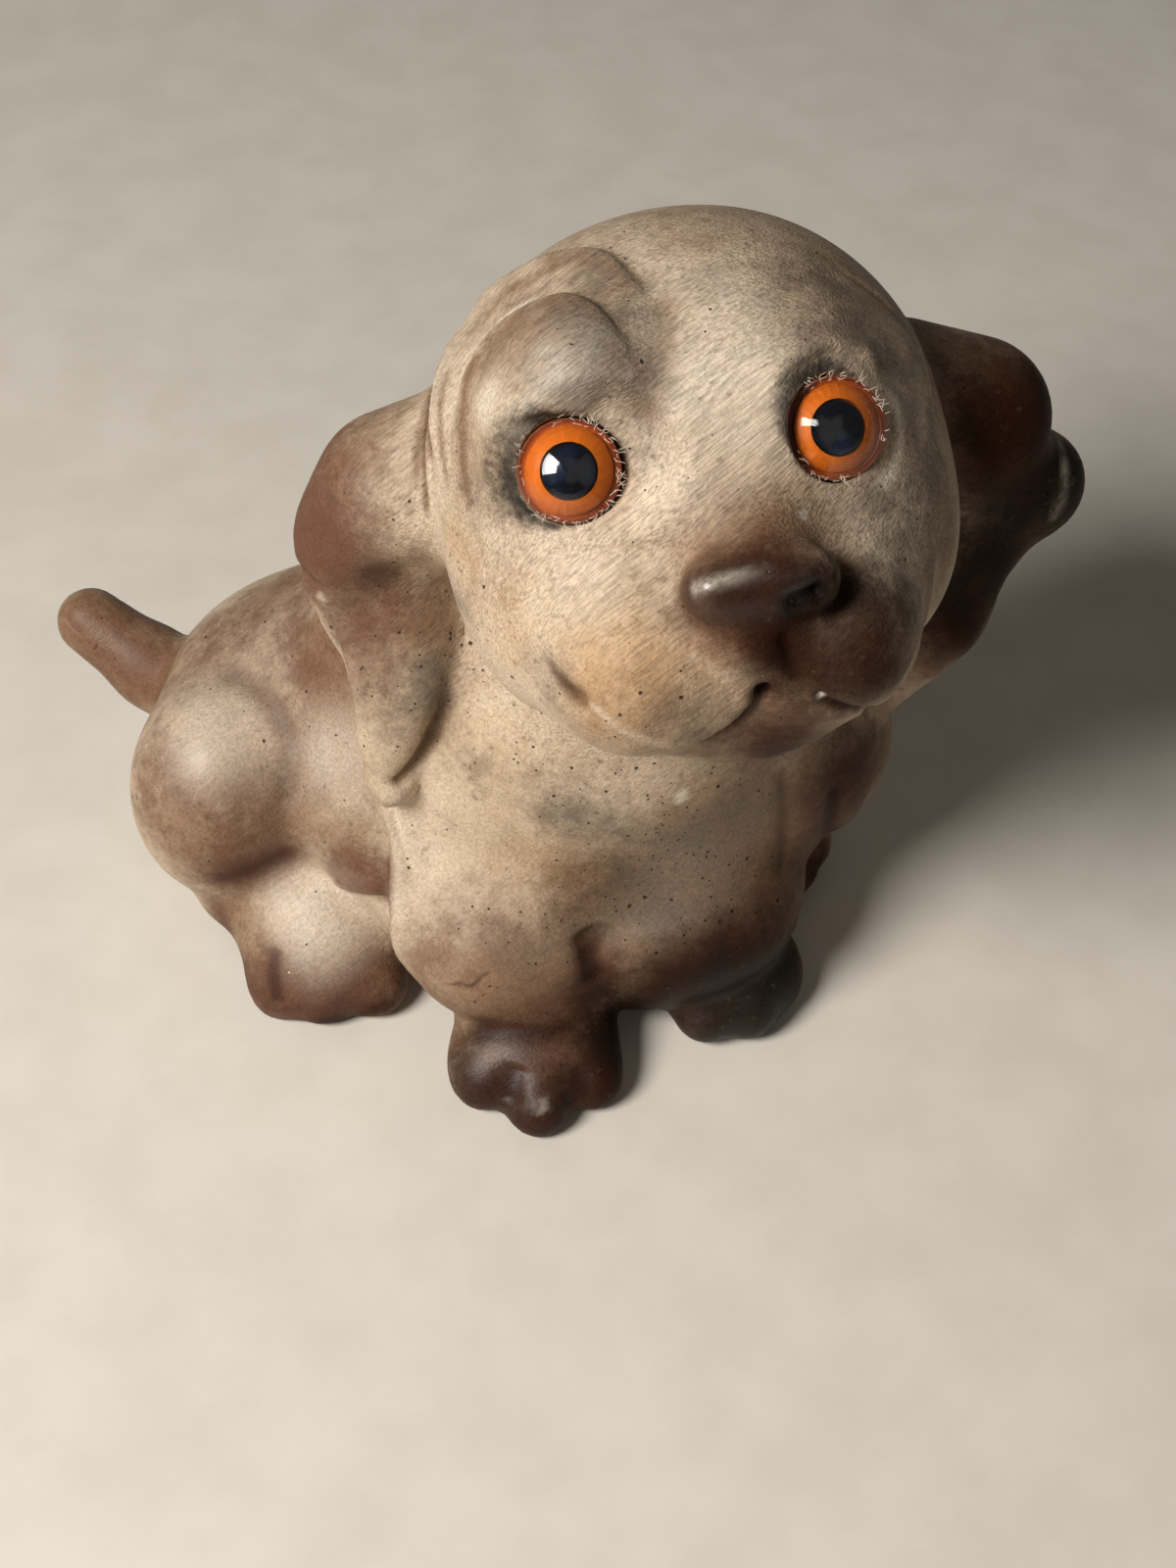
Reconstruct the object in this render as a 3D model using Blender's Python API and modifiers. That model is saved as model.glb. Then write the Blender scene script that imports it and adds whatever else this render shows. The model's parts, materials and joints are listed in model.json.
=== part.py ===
"""A moulded foam-rubber puppy, about 17 cm from its tail to its far ear, with pressed-in plastic eyes.

The rubber body is one moulding: torso, head, ears, legs and tail. It is built like clay. Named
lumps are laid down as spheres and rods, one skin is drawn round them all, and that skin is then
pressed onto the lumps' blended surface, so that neighbours flow into each other. Each eye is a
black pupil, an orange iris and a clear lens in a round seat.

Sizes in this file are in millimetres and degrees, and MM turns them into Blender's metres.
X points to the dog's left, -Y is where its chest faces, and Z is up from the floor.
"""

import math

import bmesh
import bpy
import numpy as np
from mathutils import Euler, Matrix, Vector

MM = 0.001

# The middle of the footprint, which becomes the part's origin
FOOTPRINT_CENTRE = (-4.08, -1.46)

# Head
HEAD_CENTRE = (11.8, -7.0, 100.0)
HEAD_PITCH = -27.0
HEAD_ROLL = -4.0
SKULL_RADIUS = 34.8
SKULL_WIDTH = 68.8
BROW_DOME_RADIUS = 25.0
BROW_DOME_OFFSET = (6.7, 9.57, 6.12)
BROW_RING_RADIUS = 15.6
BROW_RING_PLACE = (-12.3, -17.1, 13.2)
MUZZLE_LENGTH = 45.0
NOSE_WIDTH = 20.5
NOSE_THICKNESS = 8.8
NOSE_ACROSS = 3.4

# Eyes
EYE_DIAMETER = 13.5
EYE_PLACES = {"right": (-18.0, 10.6), "left": (17.2, 10.4)}
EYE_TOE_OUT = 7.0
EYE_LIFT = 14.0
EYE_DOME_HEIGHT = 3.0
EYE_PROUD = 2.0
EYE_GAP = 0.3
LENS_WALL = 1.0
LENS_EDGE = 0.8
IRIS_FLANGE = 1.2
PUPIL_DIAMETER = 6.6
PUPIL_LENGTH = 5.0
SEAT_CLEARANCE = 15.0
SOCKET_RADII = (10.5, 10.5, 6.0)
SOCKET_DEPTH = 2.4
SOCKET_RIM = 2.5
LOOK_STEPS = 30

# Ears
EAR_THICKNESS = 10.0
LEFT_EAR_THICKNESS = 11.6
EAR_KNOB_RADIUS = 8.0
EAR_TIP_RADIUS = 4.2

# Torso
CHEST_CENTRE = (5.0, 1.0, 41.0)
CHEST_RADII = (37.0, 29.0, 36.0)
BACK_CENTRE = (-14.0, 14.0, 42.0)
BACK_RADII = (32.0, 27.0, 29.0)
RUMP_CENTRE = (-39.0, 24.0, 26.0)
RUMP_RADII = (31.0, 27.0, 27.0)

# Legs
FORELEG_RADIUS = 16.0
PAW_WIDTH = 27.0
LEFT_PAW_WIDTH = 21.6
PAW_LENGTH = 24.0
PAW_HEIGHT = 16.0
HIND_FOOT_HEIGHT = 20.0
TOE_RADIUS = 5.6
TOE_STRETCH = 1.25
HAUNCH_RADII = (15.0, 16.0, 19.5)

# Tail
TAIL_ROOT = (-60.0, 31.0, 26.0)
TAIL_TIP = (-79.0, 44.5, 36.5)
TAIL_RADII = (7.8, 6.7, 5.8)
TAIL_SAG = 0.8

# Skin: the step of the first skin, its triangles when done, and how it is pressed onto the clay
SKIN_STEP = 1.7
SKIN_TRIANGLES = 9000
PRESS_ROUNDS = 6
SLOPE_STEP = 0.02
LEAST_STEEPNESS = 0.1
MOST_SHIFT = 2.0
FLOOR_BLOCK = (300.0, 300.0, 20.0)

# Round pieces
TURN_STEPS = 28
DOME_RINGS = 4
MERGE_MM = 0.01
BEAD_SEGMENTS = 32
BEAD_RINGS = 20

TINY = 1e-9
SIDES = {"right": -1, "left": 1}


def turn_matrix(turn):
    """The rotation matrix of X, Y and Z turns in degrees."""
    return np.array(Euler([math.radians(angle) for angle in turn]).to_matrix())


class Frame:
    """A place and a turn in which lumps are laid out."""

    def __init__(self, place=(0.0, 0.0, 0.0), turn=(0.0, 0.0, 0.0)):
        self.place = np.array(place, float)
        self.axes = turn_matrix(turn)

    def point(self, local):
        return self.place + self.axes @ np.array(local, float)

    def turned(self, turn):
        return self.axes @ turn_matrix(turn)


WORLD = Frame()
HEAD = Frame(HEAD_CENTRE, (HEAD_PITCH, HEAD_ROLL, 0.0))


class Ball:
    """An ellipsoid of clay with its own three radii."""

    def __init__(self, centre, radii, turn=(0.0, 0.0, 0.0), frame=WORLD):
        self.centre = frame.point(centre)
        self.radii = np.array(radii, float)
        self.axes = frame.turned(turn)

    def distance(self, points):
        local = (points - self.centre) @ self.axes
        near = np.linalg.norm(local / self.radii, axis=1)
        slope = np.linalg.norm(local / self.radii**2, axis=1)
        return near * (near - 1.0) / np.maximum(slope, TINY)

    def beads(self):
        """The stretched spheres that rough out the lump, as matrices for a unit sphere."""
        place = Matrix(self.axes).to_4x4()
        place.translation = Vector(self.centre)
        return [place @ Matrix.Diagonal([*self.radii, 1.0])]


class Limb:
    """A tapering rod of clay with round ends."""

    def __init__(self, start, end, start_radius, end_radius, frame=WORLD):
        self.start = frame.point(start)
        self.end = frame.point(end)
        self.radii = (start_radius, end_radius)

    def distance(self, points):
        run = self.end - self.start
        along = np.clip((points - self.start) @ run / (run @ run), 0.0, 1.0)
        nearest = self.start + along[:, None] * run
        radius = self.radii[0] + along * (self.radii[1] - self.radii[0])
        return np.linalg.norm(points - nearest, axis=1) - radius

    def beads(self):
        """The row of spheres that roughs out the rod, as matrices for a unit sphere."""
        count = 2 + int(np.linalg.norm(self.end - self.start) / min(self.radii) * 2.0)
        row = []
        for step in np.linspace(0.0, 1.0, count):
            centre = self.start + step * (self.end - self.start)
            radius = self.radii[0] + step * (self.radii[1] - self.radii[0])
            row.append(Matrix.Translation(Vector(centre)) @ Matrix.Scale(radius, 4))
        return row


class Group:
    """Lumps that blend softly with each other, and less softly with what was laid before them."""

    def __init__(self, name, lumps, blend, crease):
        self.name = name
        self.lumps = lumps
        self.blend = blend
        self.crease = crease

    def distance(self, points):
        field = self.lumps[0].distance(points)
        for lump in self.lumps[1:]:
            field = blended(field, lump.distance(points), self.blend)
        return field


def blended(first, second, width):
    """The union of two fields with a fillet of about this width where they meet."""
    overlap = np.maximum(width - np.abs(first - second), 0.0) / width
    return np.minimum(first, second) - overlap * overlap * width * 0.25


def carved(field, hollow, width):
    """The field with the hollow taken out and its rim rounded."""
    return -blended(-field, hollow, width)


def torso():
    chest = Ball(CHEST_CENTRE, CHEST_RADII)
    back = Ball(BACK_CENTRE, BACK_RADII)
    rump = Ball(RUMP_CENTRE, RUMP_RADII)
    neck = Limb((6.0, 2.0, 62.0), HEAD_CENTRE, 26.0, 24.0)
    belly = Ball((-8.0, 4.0, 17.0), (34.0, 24.0, 15.0))
    between_paws = Ball((3.0, -16.0, 10.5), (17.0, 14.0, 10.5))
    return Group("torso", [chest, back, rump, neck, belly, between_paws], blend=14.0, crease=1.0)


def forelegs():
    right = Ball((-17.5, -21.0, 19.5), (16.5, FORELEG_RADIUS, 14.5))
    left = Ball((13.5, -20.0, 19.5), (18.0, FORELEG_RADIUS, 14.5))
    left_shoulder = Ball((31.0, -3.0, 37.0), (18.5, 16.0, 19.0))
    return Group("forelegs", [right, left, left_shoulder], blend=4.0, crease=12.0)


def haunches():
    right = Ball((-60.0, 8.5, 28.5), HAUNCH_RADII)
    right_flank = Ball((-37.0, -1.0, 31.0), (10.0, 11.0, 11.0))
    right_groin = Ball((-29.0, 0.0, 27.0), (12.0, 14.0, 14.0))
    left = Ball((21.0, 10.0, 20.0), (16.0, 18.0, 18.0))
    return Group("haunches", [right, right_flank, right_groin, left], blend=4.0, crease=8.0)


def paw(centre, toes, width, length, height):
    """A paw's pad with its toes along the front edge."""
    lumps = [Ball(centre, (width / 2, length / 2, height / 2))]
    for toe in toes:
        lumps.append(Ball(toe, (TOE_RADIUS, TOE_RADIUS * TOE_STRETCH, TOE_RADIUS)))
    return lumps


def front_paws():
    right_toes = [(-24.0, -37.5, 4.5), (-16.0, -43.5, 3.5), (-7.0, -40.0, 4.0)]
    left_toes = [(14.0, -31.0, 5.0), (21.0, -31.0, 4.5), (26.0, -26.0, 4.5)]
    right = paw((-14.5, -33.0, 6.5), right_toes, PAW_WIDTH, PAW_LENGTH, PAW_HEIGHT)
    left = paw((20.0, -24.0, 6.5), left_toes, LEFT_PAW_WIDTH, PAW_LENGTH, PAW_HEIGHT)
    right_wrist = Limb((-13.0, -24.0, 20.0), (-13.0, -28.0, 6.0), 11.0, 9.0)
    left_wrist = Limb((18.0, -16.0, 20.0), (19.0, -20.0, 6.0), 10.0, 8.5)
    return Group("front_paws", [*right, *left, right_wrist, left_wrist], blend=3.0, crease=2.5)


def hind_feet():
    right_toes = [(-54.5, -13.0, 3.5), (-47.5, -15.5, 4.0), (-39.0, -15.5, 4.0)]
    left_toes = [(25.0, -5.0, 5.0), (32.0, -5.0, 5.0), (36.0, 0.0, 5.0)]
    right = paw((-46.5, -8.0, 8.0), right_toes, PAW_WIDTH, PAW_LENGTH, HIND_FOOT_HEIGHT)
    left = paw((30.0, 3.0, 7.0), left_toes, PAW_WIDTH, PAW_LENGTH, PAW_HEIGHT)
    right_shank = Limb((-54.5, 5.0, 13.0), (-48.0, -4.0, 10.0), 13.0, 11.5)
    left_shank = Limb((18.0, 18.0, 12.0), (28.0, 4.0, 8.0), 12.0, 9.0)
    return Group("hind_feet", [*right, *left, right_shank, left_shank], blend=4.0, crease=2.5)


def tail():
    """A short tail that thins a little towards its tip and sags in the middle."""
    middle = [(a + b) / 2 for a, b in zip(TAIL_ROOT, TAIL_TIP)]
    middle[2] -= TAIL_SAG
    root_radius, middle_radius, tip_radius = TAIL_RADII
    root = Limb(TAIL_ROOT, middle, root_radius, middle_radius)
    tip = Limb(middle, TAIL_TIP, middle_radius, tip_radius)
    return Group("tail", [root, tip], blend=3.0, crease=2.5)


def skull():
    wide = SKULL_WIDTH / 2
    dome = Ball((3.6, 1.0, 1.4), (wide, SKULL_RADIUS, SKULL_RADIUS), frame=HEAD)
    right_temple = Ball((-16.5, -5.0, 1.5), (18.0, 20.0, 21.0), frame=HEAD)
    right_crown = Ball((-6.0, 2.0, 6.0), (24.8, 24.8, 24.8), frame=HEAD)
    right_cheek = Ball((-16.0, -15.0, -12.0), (17.0, 18.0, 17.0), frame=HEAD)
    left_cheek = Ball((18.2, -12.0, -10.0), (17.0, 19.0, 18.0), frame=HEAD)
    muzzle_root = Ball((1.0, -21.0, -15.0), (21.0, 19.0, 15.0), frame=HEAD)
    lumps = [dome, right_temple, right_crown, right_cheek, left_cheek, muzzle_root]
    return Group("skull", lumps, blend=9.0, crease=1.5)


def brows():
    """The two domes of the forehead, which meet in a crease over the nose."""
    domes = []
    across, forward, up = BROW_DOME_OFFSET
    for side in SIDES.values():
        domes.append(Ball((side * across, -forward, up), (BROW_DOME_RADIUS,) * 3, frame=HEAD))
    return Group("brows", domes, blend=3.0, crease=0.9)


def brow_ring():
    """The rounder bulge above the right eye."""
    dome = Ball(BROW_RING_PLACE, (BROW_RING_RADIUS,) * 3, frame=HEAD)
    return Group("brow_ring", [dome], blend=3.0, crease=0.6)


def muzzle():
    right_jowl = Ball((-12.0, -28.5, -17.0), (13.5, 13.5, 13.0), frame=HEAD)
    left_jowl = Ball((13.5, -28.5, -17.6), (12.5, 13.0, 12.0), frame=HEAD)
    bridge = Limb((1.5, -20.0, 2.0), (3.3, -34.6, -5.6), 12.0, 8.2, frame=HEAD)
    under_nose = Ball((0.6, -35.4, -11.6), (8.4, 7.6, 7.0), frame=HEAD)
    lumps = [right_jowl, left_jowl, bridge, under_nose]
    return Group("muzzle", lumps, blend=3.0, crease=5.0)


def chin():
    lump = Ball((2.5, -20.5, -27.5), (13.0, 12.5, 8.5), frame=HEAD)
    return Group("chin", [lump], blend=3.0, crease=7.0)


def nose():
    """A rounded bar across the muzzle, a little lower at its left end."""
    radius = NOSE_THICKNESS / 2
    half = NOSE_WIDTH / 2 - radius
    forward = MUZZLE_LENGTH - radius
    right_end = (NOSE_ACROSS - half, -forward, -5.6)
    left_end = (NOSE_ACROSS + half, -forward, -6.2)
    bar = Limb(right_end, left_end, radius, radius, frame=HEAD)
    return Group("nose", [bar], blend=2.0, crease=2.0)


def right_ear():
    root = Limb((-12.0, -1.0, 101.5), (-28.0, 0.0, 96.5), 12.5, 11.6)
    knob = Ball((-35.0, 0.0, 89.0), (EAR_KNOB_RADIUS,) * 3)
    flap = Ball((-29.5, -2.0, 80.0), (12.0, EAR_THICKNESS / 2, 17.0))
    lower_flap = Ball((-28.5, -7.0, 68.0), (8.0, EAR_THICKNESS / 2, 13.0))
    tip = Limb((-30.0, -9.0, 66.0), (-33.2, -12.5, 50.4), EAR_THICKNESS / 2, EAR_TIP_RADIUS)
    return Group("right_ear", [root, knob, flap, lower_flap, tip], blend=6.0, crease=3.0)


def left_ear():
    thick = LEFT_EAR_THICKNESS / 2
    root = Limb((40.0, 2.0, 103.4), (57.0, 0.0, 97.8), 12.0, 12.0)
    knob = Ball((68.5, 0.0, 84.0), (EAR_KNOB_RADIUS,) * 3)
    flap = Ball((55.0, -1.0, 79.0), (16.0, thick, 17.0))
    lower_flap = Ball((50.0, -5.0, 67.0), (13.0, thick, 14.0))
    tip = Limb((54.0, -6.0, 62.0), (46.0, -7.0, 50.0), thick, EAR_TIP_RADIUS)
    return Group("left_ear", [root, knob, flap, lower_flap, tip], blend=6.0, crease=3.0)


def groups():
    """Every group of clay, in the order in which it is laid down."""
    trunk = [torso(), forelegs(), haunches(), front_paws(), hind_feet(), tail()]
    head = [skull(), brows(), brow_ring(), muzzle(), chin(), nose(), right_ear(), left_ear()]
    return trunk + head


def clay_field(points, laid):
    """How far each point lies outside the clay, before the eye sockets, in millimetres."""
    field = laid[0].distance(points)
    for group in laid[1:]:
        field = blended(field, group.distance(points), group.crease)
    return field


def eye_frame(name, laid):
    """The eye's own frame: its origin on the clay, and its Z axis along the eye's look."""
    across, up = EYE_PLACES[name]
    inside = 0.0
    outside = 2.0 * SKULL_RADIUS
    for _ in range(LOOK_STEPS):
        reach = (inside + outside) / 2
        place = HEAD.point((across, -reach, up))
        if clay_field(place[None, :], laid)[0] < 0.0:
            inside = reach
        else:
            outside = reach
    frame = Frame(place)
    frame.axes = HEAD.turned((90.0 - EYE_LIFT, 0.0, SIDES[name] * EYE_TOE_OUT))
    return frame


def socket_bowl(eye):
    """The shallow bowl of skin in which an eye lies."""
    bowl = Ball(eye.point((0.0, 0.0, SOCKET_RADII[2] - SOCKET_DEPTH)), SOCKET_RADII)
    bowl.axes = eye.axes
    return bowl


def skin_field(points, laid, bowls):
    """How far each point lies outside the skin, with the sockets hollowed, in millimetres."""
    field = clay_field(points, laid)
    for bowl in bowls:
        field = carved(field, bowl.distance(points), SOCKET_RIM)
    return field


def press(points, laid, bowls):
    """Moves points along the field's slope until they lie on the skin."""
    for _ in range(PRESS_ROUNDS):
        field = skin_field(points, laid, bowls)
        slope = np.empty_like(points)
        for axis in range(3):
            ahead = points.copy()
            ahead[:, axis] += SLOPE_STEP
            slope[:, axis] = (skin_field(ahead, laid, bowls) - field) / SLOPE_STEP
        steepness = np.maximum((slope * slope).sum(axis=1), LEAST_STEEPNESS)
        shift = np.clip(field / steepness, -MOST_SHIFT, MOST_SHIFT)
        points = points - shift[:, None] * slope
    return points


def new_object(name, mesh, collection):
    thing = bpy.data.objects.new(name, mesh)
    collection.objects.link(thing)
    return thing


def new_material(name, colour, roughness, transmission=0.0):
    material = bpy.data.materials.new(name)
    material.use_nodes = True
    shader = material.node_tree.nodes["Principled BSDF"]
    shader.inputs["Base Color"].default_value = (*colour, 1.0)
    shader.inputs["Roughness"].default_value = roughness
    shader.inputs["Metallic"].default_value = 0.0
    shader.inputs["Transmission Weight"].default_value = transmission
    return material


def apply_modifiers(thing):
    """Replaces the object's mesh with the one that its modifiers make."""
    graph = bpy.context.evaluated_depsgraph_get()
    made = bpy.data.meshes.new_from_object(thing.evaluated_get(graph))
    thing.modifiers.clear()
    thing.data = made


def roughed_out(laid):
    """One mesh that holds a stretched sphere for every bead of every lump."""
    ball = bmesh.new()
    bmesh.ops.create_uvsphere(
        ball, u_segments=BEAD_SEGMENTS, v_segments=BEAD_RINGS, radius=1.0
    )
    unit = bpy.data.meshes.new("unit_sphere")
    ball.to_mesh(unit)
    ball.free()
    clay = bmesh.new()
    for group in laid:
        for lump in group.lumps:
            for bead in lump.beads():
                shaped = unit.copy()
                shaped.transform(bead)
                clay.from_mesh(shaped)
                bpy.data.meshes.remove(shaped)
    mesh = bpy.data.meshes.new("body")
    clay.to_mesh(mesh)
    clay.free()
    bpy.data.meshes.remove(unit)
    return mesh


def cut(thing, cutter):
    boolean = thing.modifiers.new(cutter.name, "BOOLEAN")
    boolean.operation = "DIFFERENCE"
    boolean.solver = "EXACT"
    boolean.object = cutter


def as_cutter(thing):
    thing.hide_render = True
    thing.display_type = "WIRE"
    return thing


def floor_cutter(collection):
    """A block whose top is the floor, so that the soles come out flat."""
    block = bmesh.new()
    bmesh.ops.create_cube(block, size=1.0)
    bmesh.ops.scale(block, vec=[side * MM for side in FLOOR_BLOCK], verts=block.verts)
    bmesh.ops.translate(block, vec=(0.0, 0.0, -FLOOR_BLOCK[2] * MM / 2), verts=block.verts)
    mesh = bpy.data.meshes.new("floor_cutter")
    block.to_mesh(mesh)
    block.free()
    return as_cutter(new_object("floor_cutter", mesh, collection))


def to_footprint(place):
    """A place in millimetres as a location in metres, from the middle of the footprint."""
    return Vector((place[0] - FOOTPRINT_CENTRE[0], place[1] - FOOTPRINT_CENTRE[1], place[2])) * MM


def turned(name, profile, eye, collection):
    """A round piece on an eye's axis, from (radius, height) points that run from top to bottom."""
    mesh = bpy.data.meshes.new(name)
    points = [(radius * MM, 0.0, height * MM) for radius, height in profile]
    edges = [(index, index + 1) for index in range(len(points) - 1)]
    mesh.from_pydata(points, edges, [])
    thing = new_object(name, mesh, collection)
    screw = thing.modifiers.new("turn", "SCREW")
    screw.steps = TURN_STEPS
    screw.render_steps = TURN_STEPS
    screw.use_merge_vertices = True
    screw.merge_threshold = MERGE_MM * MM
    screw.use_smooth_shade = True
    place = Matrix(eye.axes).to_4x4()
    place.translation = to_footprint(eye.place)
    thing.matrix_world = place
    return thing


def dome_radius():
    """The radius of the ball that the lens's outer face is cut from."""
    half = EYE_DIAMETER / 2
    return (half * half + EYE_DOME_HEIGHT * EYE_DOME_HEIGHT) / (2 * EYE_DOME_HEIGHT)


def dome_height(inset, out):
    """How high a dome lies at a distance out from the axis, where inset is its depth in the eye."""
    ball = dome_radius() - inset
    middle = EYE_PROUD - dome_radius()
    return middle + math.sqrt(ball * ball - out * out)


def dome_arc(inset, start, end):
    """Points along a dome between two distances from the axis."""
    outs = [start + (end - start) * step / DOME_RINGS for step in range(DOME_RINGS + 1)]
    return [(out, dome_height(inset, out)) for out in outs]


def lens_foot():
    """The height of the lens's lower rim."""
    return EYE_PROUD - EYE_DOME_HEIGHT - LENS_EDGE


def lens_profile():
    """A clear cap of even wall with a short straight edge."""
    half = EYE_DIAMETER / 2
    inner = half - LENS_WALL
    outside = dome_arc(0.0, 0.0, half)
    inside = dome_arc(LENS_WALL, inner, 0.0)
    return outside + [(half, lens_foot()), (inner, lens_foot())] + inside


def iris_profile():
    """A domed ring under the lens, on a flange that the lens stands on."""
    hole = PUPIL_DIAMETER / 2 + EYE_GAP
    half = EYE_DIAMETER / 2
    shoulder = half - LENS_WALL - EYE_GAP
    top = lens_foot() - EYE_GAP
    bottom = top - IRIS_FLANGE
    dome = dome_arc(LENS_WALL + EYE_GAP, hole, shoulder)
    return dome + [(shoulder, top), (half, top), (half, bottom), (hole, bottom), dome[0]]


def pupil_profile():
    """A plug through the iris, its face on the iris's dome and its end in the rubber."""
    half = PUPIL_DIAMETER / 2
    dome = dome_arc(LENS_WALL + EYE_GAP, 0.0, half)
    end = dome[-1][1] - PUPIL_LENGTH
    return dome + [(half, end), (0.0, end)]


def seat_profile():
    """The stepped hole in the rubber that holds the lens, the iris and the pupil."""
    wide = EYE_DIAMETER / 2 + EYE_GAP
    narrow = PUPIL_DIAMETER / 2 + EYE_GAP
    step = lens_foot() - 2 * EYE_GAP - IRIS_FLANGE
    end = pupil_profile()[-1][1] - EYE_GAP
    top = SEAT_CLEARANCE
    return [(0.0, top), (wide, top), (wide, step), (narrow, step), (narrow, end), (0.0, end)]


def make_body(laid, eyes, parts, cutters):
    mesh = roughed_out(laid)
    mesh.transform(Matrix.Scale(MM, 4))
    body = new_object("body", mesh, parts)

    skin = body.modifiers.new("skin", "REMESH")
    skin.mode = "VOXEL"
    skin.voxel_size = SKIN_STEP * MM
    apply_modifiers(body)

    points = np.empty(len(body.data.vertices) * 3)
    body.data.vertices.foreach_get("co", points)
    bowls = [socket_bowl(eye) for eye in eyes.values()]
    points = press(points.reshape(-1, 3) / MM, laid, bowls)
    body.data.vertices.foreach_set("co", (points * MM).ravel())
    body.data.transform(Matrix.Translation(to_footprint((0.0, 0.0, 0.0))))

    fewer = body.modifiers.new("fewer", "DECIMATE")
    fewer.ratio = min(1.0, SKIN_TRIANGLES / (2 * len(body.data.polygons)))
    apply_modifiers(body)
    body.data.shade_smooth()

    cut(body, floor_cutter(cutters))
    for side, eye in eyes.items():
        cut(body, as_cutter(turned(f"{side}_eye_seat", seat_profile(), eye, cutters)))
    return body


def make_eye(side, eye, materials, parts):
    """The three round pieces of one eye."""
    pieces = {"lens": lens_profile(), "iris": iris_profile(), "pupil": pupil_profile()}
    for name, profile in pieces.items():
        piece = turned(f"{side}_eye_{name}", profile, eye, parts)
        piece.data.materials.append(materials[name])


def main():
    for thing in list(bpy.data.objects):
        bpy.data.objects.remove(thing)
    parts = bpy.data.collections.new("dog_figurine")
    cutters = bpy.data.collections.new("cutters")
    bpy.context.scene.collection.children.link(parts)
    bpy.context.scene.collection.children.link(cutters)
    laid = groups()
    eyes = {name: eye_frame(name, laid) for name in SIDES}
    body = make_body(laid, eyes, parts, cutters)
    body.data.materials.append(new_material("brown_rubber", (0.27, 0.17, 0.11), 0.55))
    materials = {
        "lens": new_material("clear_plastic", (1.0, 1.0, 1.0), 0.05, transmission=1.0),
        "iris": new_material("orange_plastic", (0.72, 0.17, 0.02), 0.35),
        "pupil": new_material("black_plastic", (0.008, 0.009, 0.014), 0.25),
    }
    for side, eye in eyes.items():
        make_eye(side, eye, materials, parts)


main()
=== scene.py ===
"""The looks of the foam-rubber puppy: its moulded skin, its worn airbrushed colours and its plastic eyes.

The skin is laid down again from the same lumps of clay as the solid body, finer, and then folded,
creased and dented as the moulding is. Colour comes from soft airbrushed marks on the skin, each
placed where the photograph's camera sees it, with noise for mottling, strokes and pinholes. Some of
the marks are painted shade, in creases, hollows, eye sockets, pinholes and undersides, and some are
painted highlights, on fold lips, rims and the nose's ridge; the iris holds painted light and shade.

Lengths are in millimetres in the part's frame, and MM turns them into metres.
"""

import json
import math

import bmesh
import bpy
import numpy as np
from mathutils import Euler, Matrix, Vector

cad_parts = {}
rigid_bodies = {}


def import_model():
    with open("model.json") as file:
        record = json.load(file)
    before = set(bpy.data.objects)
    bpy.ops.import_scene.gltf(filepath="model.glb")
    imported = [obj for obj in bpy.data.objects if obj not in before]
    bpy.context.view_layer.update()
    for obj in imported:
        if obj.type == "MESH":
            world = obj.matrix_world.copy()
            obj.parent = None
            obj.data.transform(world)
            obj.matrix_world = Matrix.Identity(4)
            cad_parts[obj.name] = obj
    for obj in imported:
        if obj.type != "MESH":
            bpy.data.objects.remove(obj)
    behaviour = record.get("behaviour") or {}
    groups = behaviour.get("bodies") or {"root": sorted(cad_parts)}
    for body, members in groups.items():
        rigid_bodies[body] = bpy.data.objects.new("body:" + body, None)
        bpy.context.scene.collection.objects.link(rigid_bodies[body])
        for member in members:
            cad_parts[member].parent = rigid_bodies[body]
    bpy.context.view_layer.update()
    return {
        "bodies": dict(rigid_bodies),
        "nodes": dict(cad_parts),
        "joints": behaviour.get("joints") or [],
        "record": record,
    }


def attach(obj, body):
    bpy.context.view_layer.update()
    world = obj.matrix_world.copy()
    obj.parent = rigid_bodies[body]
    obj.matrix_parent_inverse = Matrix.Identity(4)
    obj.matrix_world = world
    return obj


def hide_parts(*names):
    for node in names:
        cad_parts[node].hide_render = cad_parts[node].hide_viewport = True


MM = 0.001
TINY = 1e-9
SEED = 7

# The photograph's camera
CAMERA_PLACE = (-0.0414, -0.2565, 0.319)
CAMERA_TURN = (42.0, 0.0, -10.0)
CAMERA_LENS = 54.0
CAMERA_SENSOR = 36.0
PHOTO_WIDE = 1200
PHOTO_HIGH = 1600

# The solid's own values
FOOTPRINT_CENTRE = (-4.08, -1.46)
HEAD_CENTRE = (11.8, -7.0, 100.0)
HEAD_PITCH = -27.0
HEAD_ROLL = -4.0
SKULL_RADIUS = 34.8
SKULL_WIDTH = 68.8
BROW_DOME_RADIUS = 25.0
BROW_DOME_OFFSET = (6.7, 9.57, 6.12)
BROW_RING_RADIUS = 15.6
BROW_RING_PLACE = (-12.3, -17.1, 13.2)
MUZZLE_LENGTH = 45.0
NOSE_WIDTH = 20.5
NOSE_THICKNESS = 8.8
NOSE_ACROSS = 3.4
EYE_DIAMETER = 13.5
EYE_PLACES = {"right": (-18.0, 10.6), "left": (17.2, 10.4)}
EYE_TOE_OUT = 7.0
EYE_LIFT = 14.0
EYE_PROUD = 2.0
EYE_GAP = 0.3
SOCKET_RADII = (10.5, 10.5, 6.0)
SOCKET_DEPTH = 2.4
SOCKET_RIM = 2.5
LOOK_STEPS = 30
SEAT_DEPTH = 8.0
EAR_THICKNESS = 10.0
LEFT_EAR_THICKNESS = 11.6
EAR_KNOB_RADIUS = 8.0
EAR_TIP_RADIUS = 4.2
CHEST_CENTRE = (5.0, 1.0, 41.0)
CHEST_RADII = (37.0, 29.0, 36.0)
BACK_CENTRE = (-14.0, 14.0, 42.0)
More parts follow.
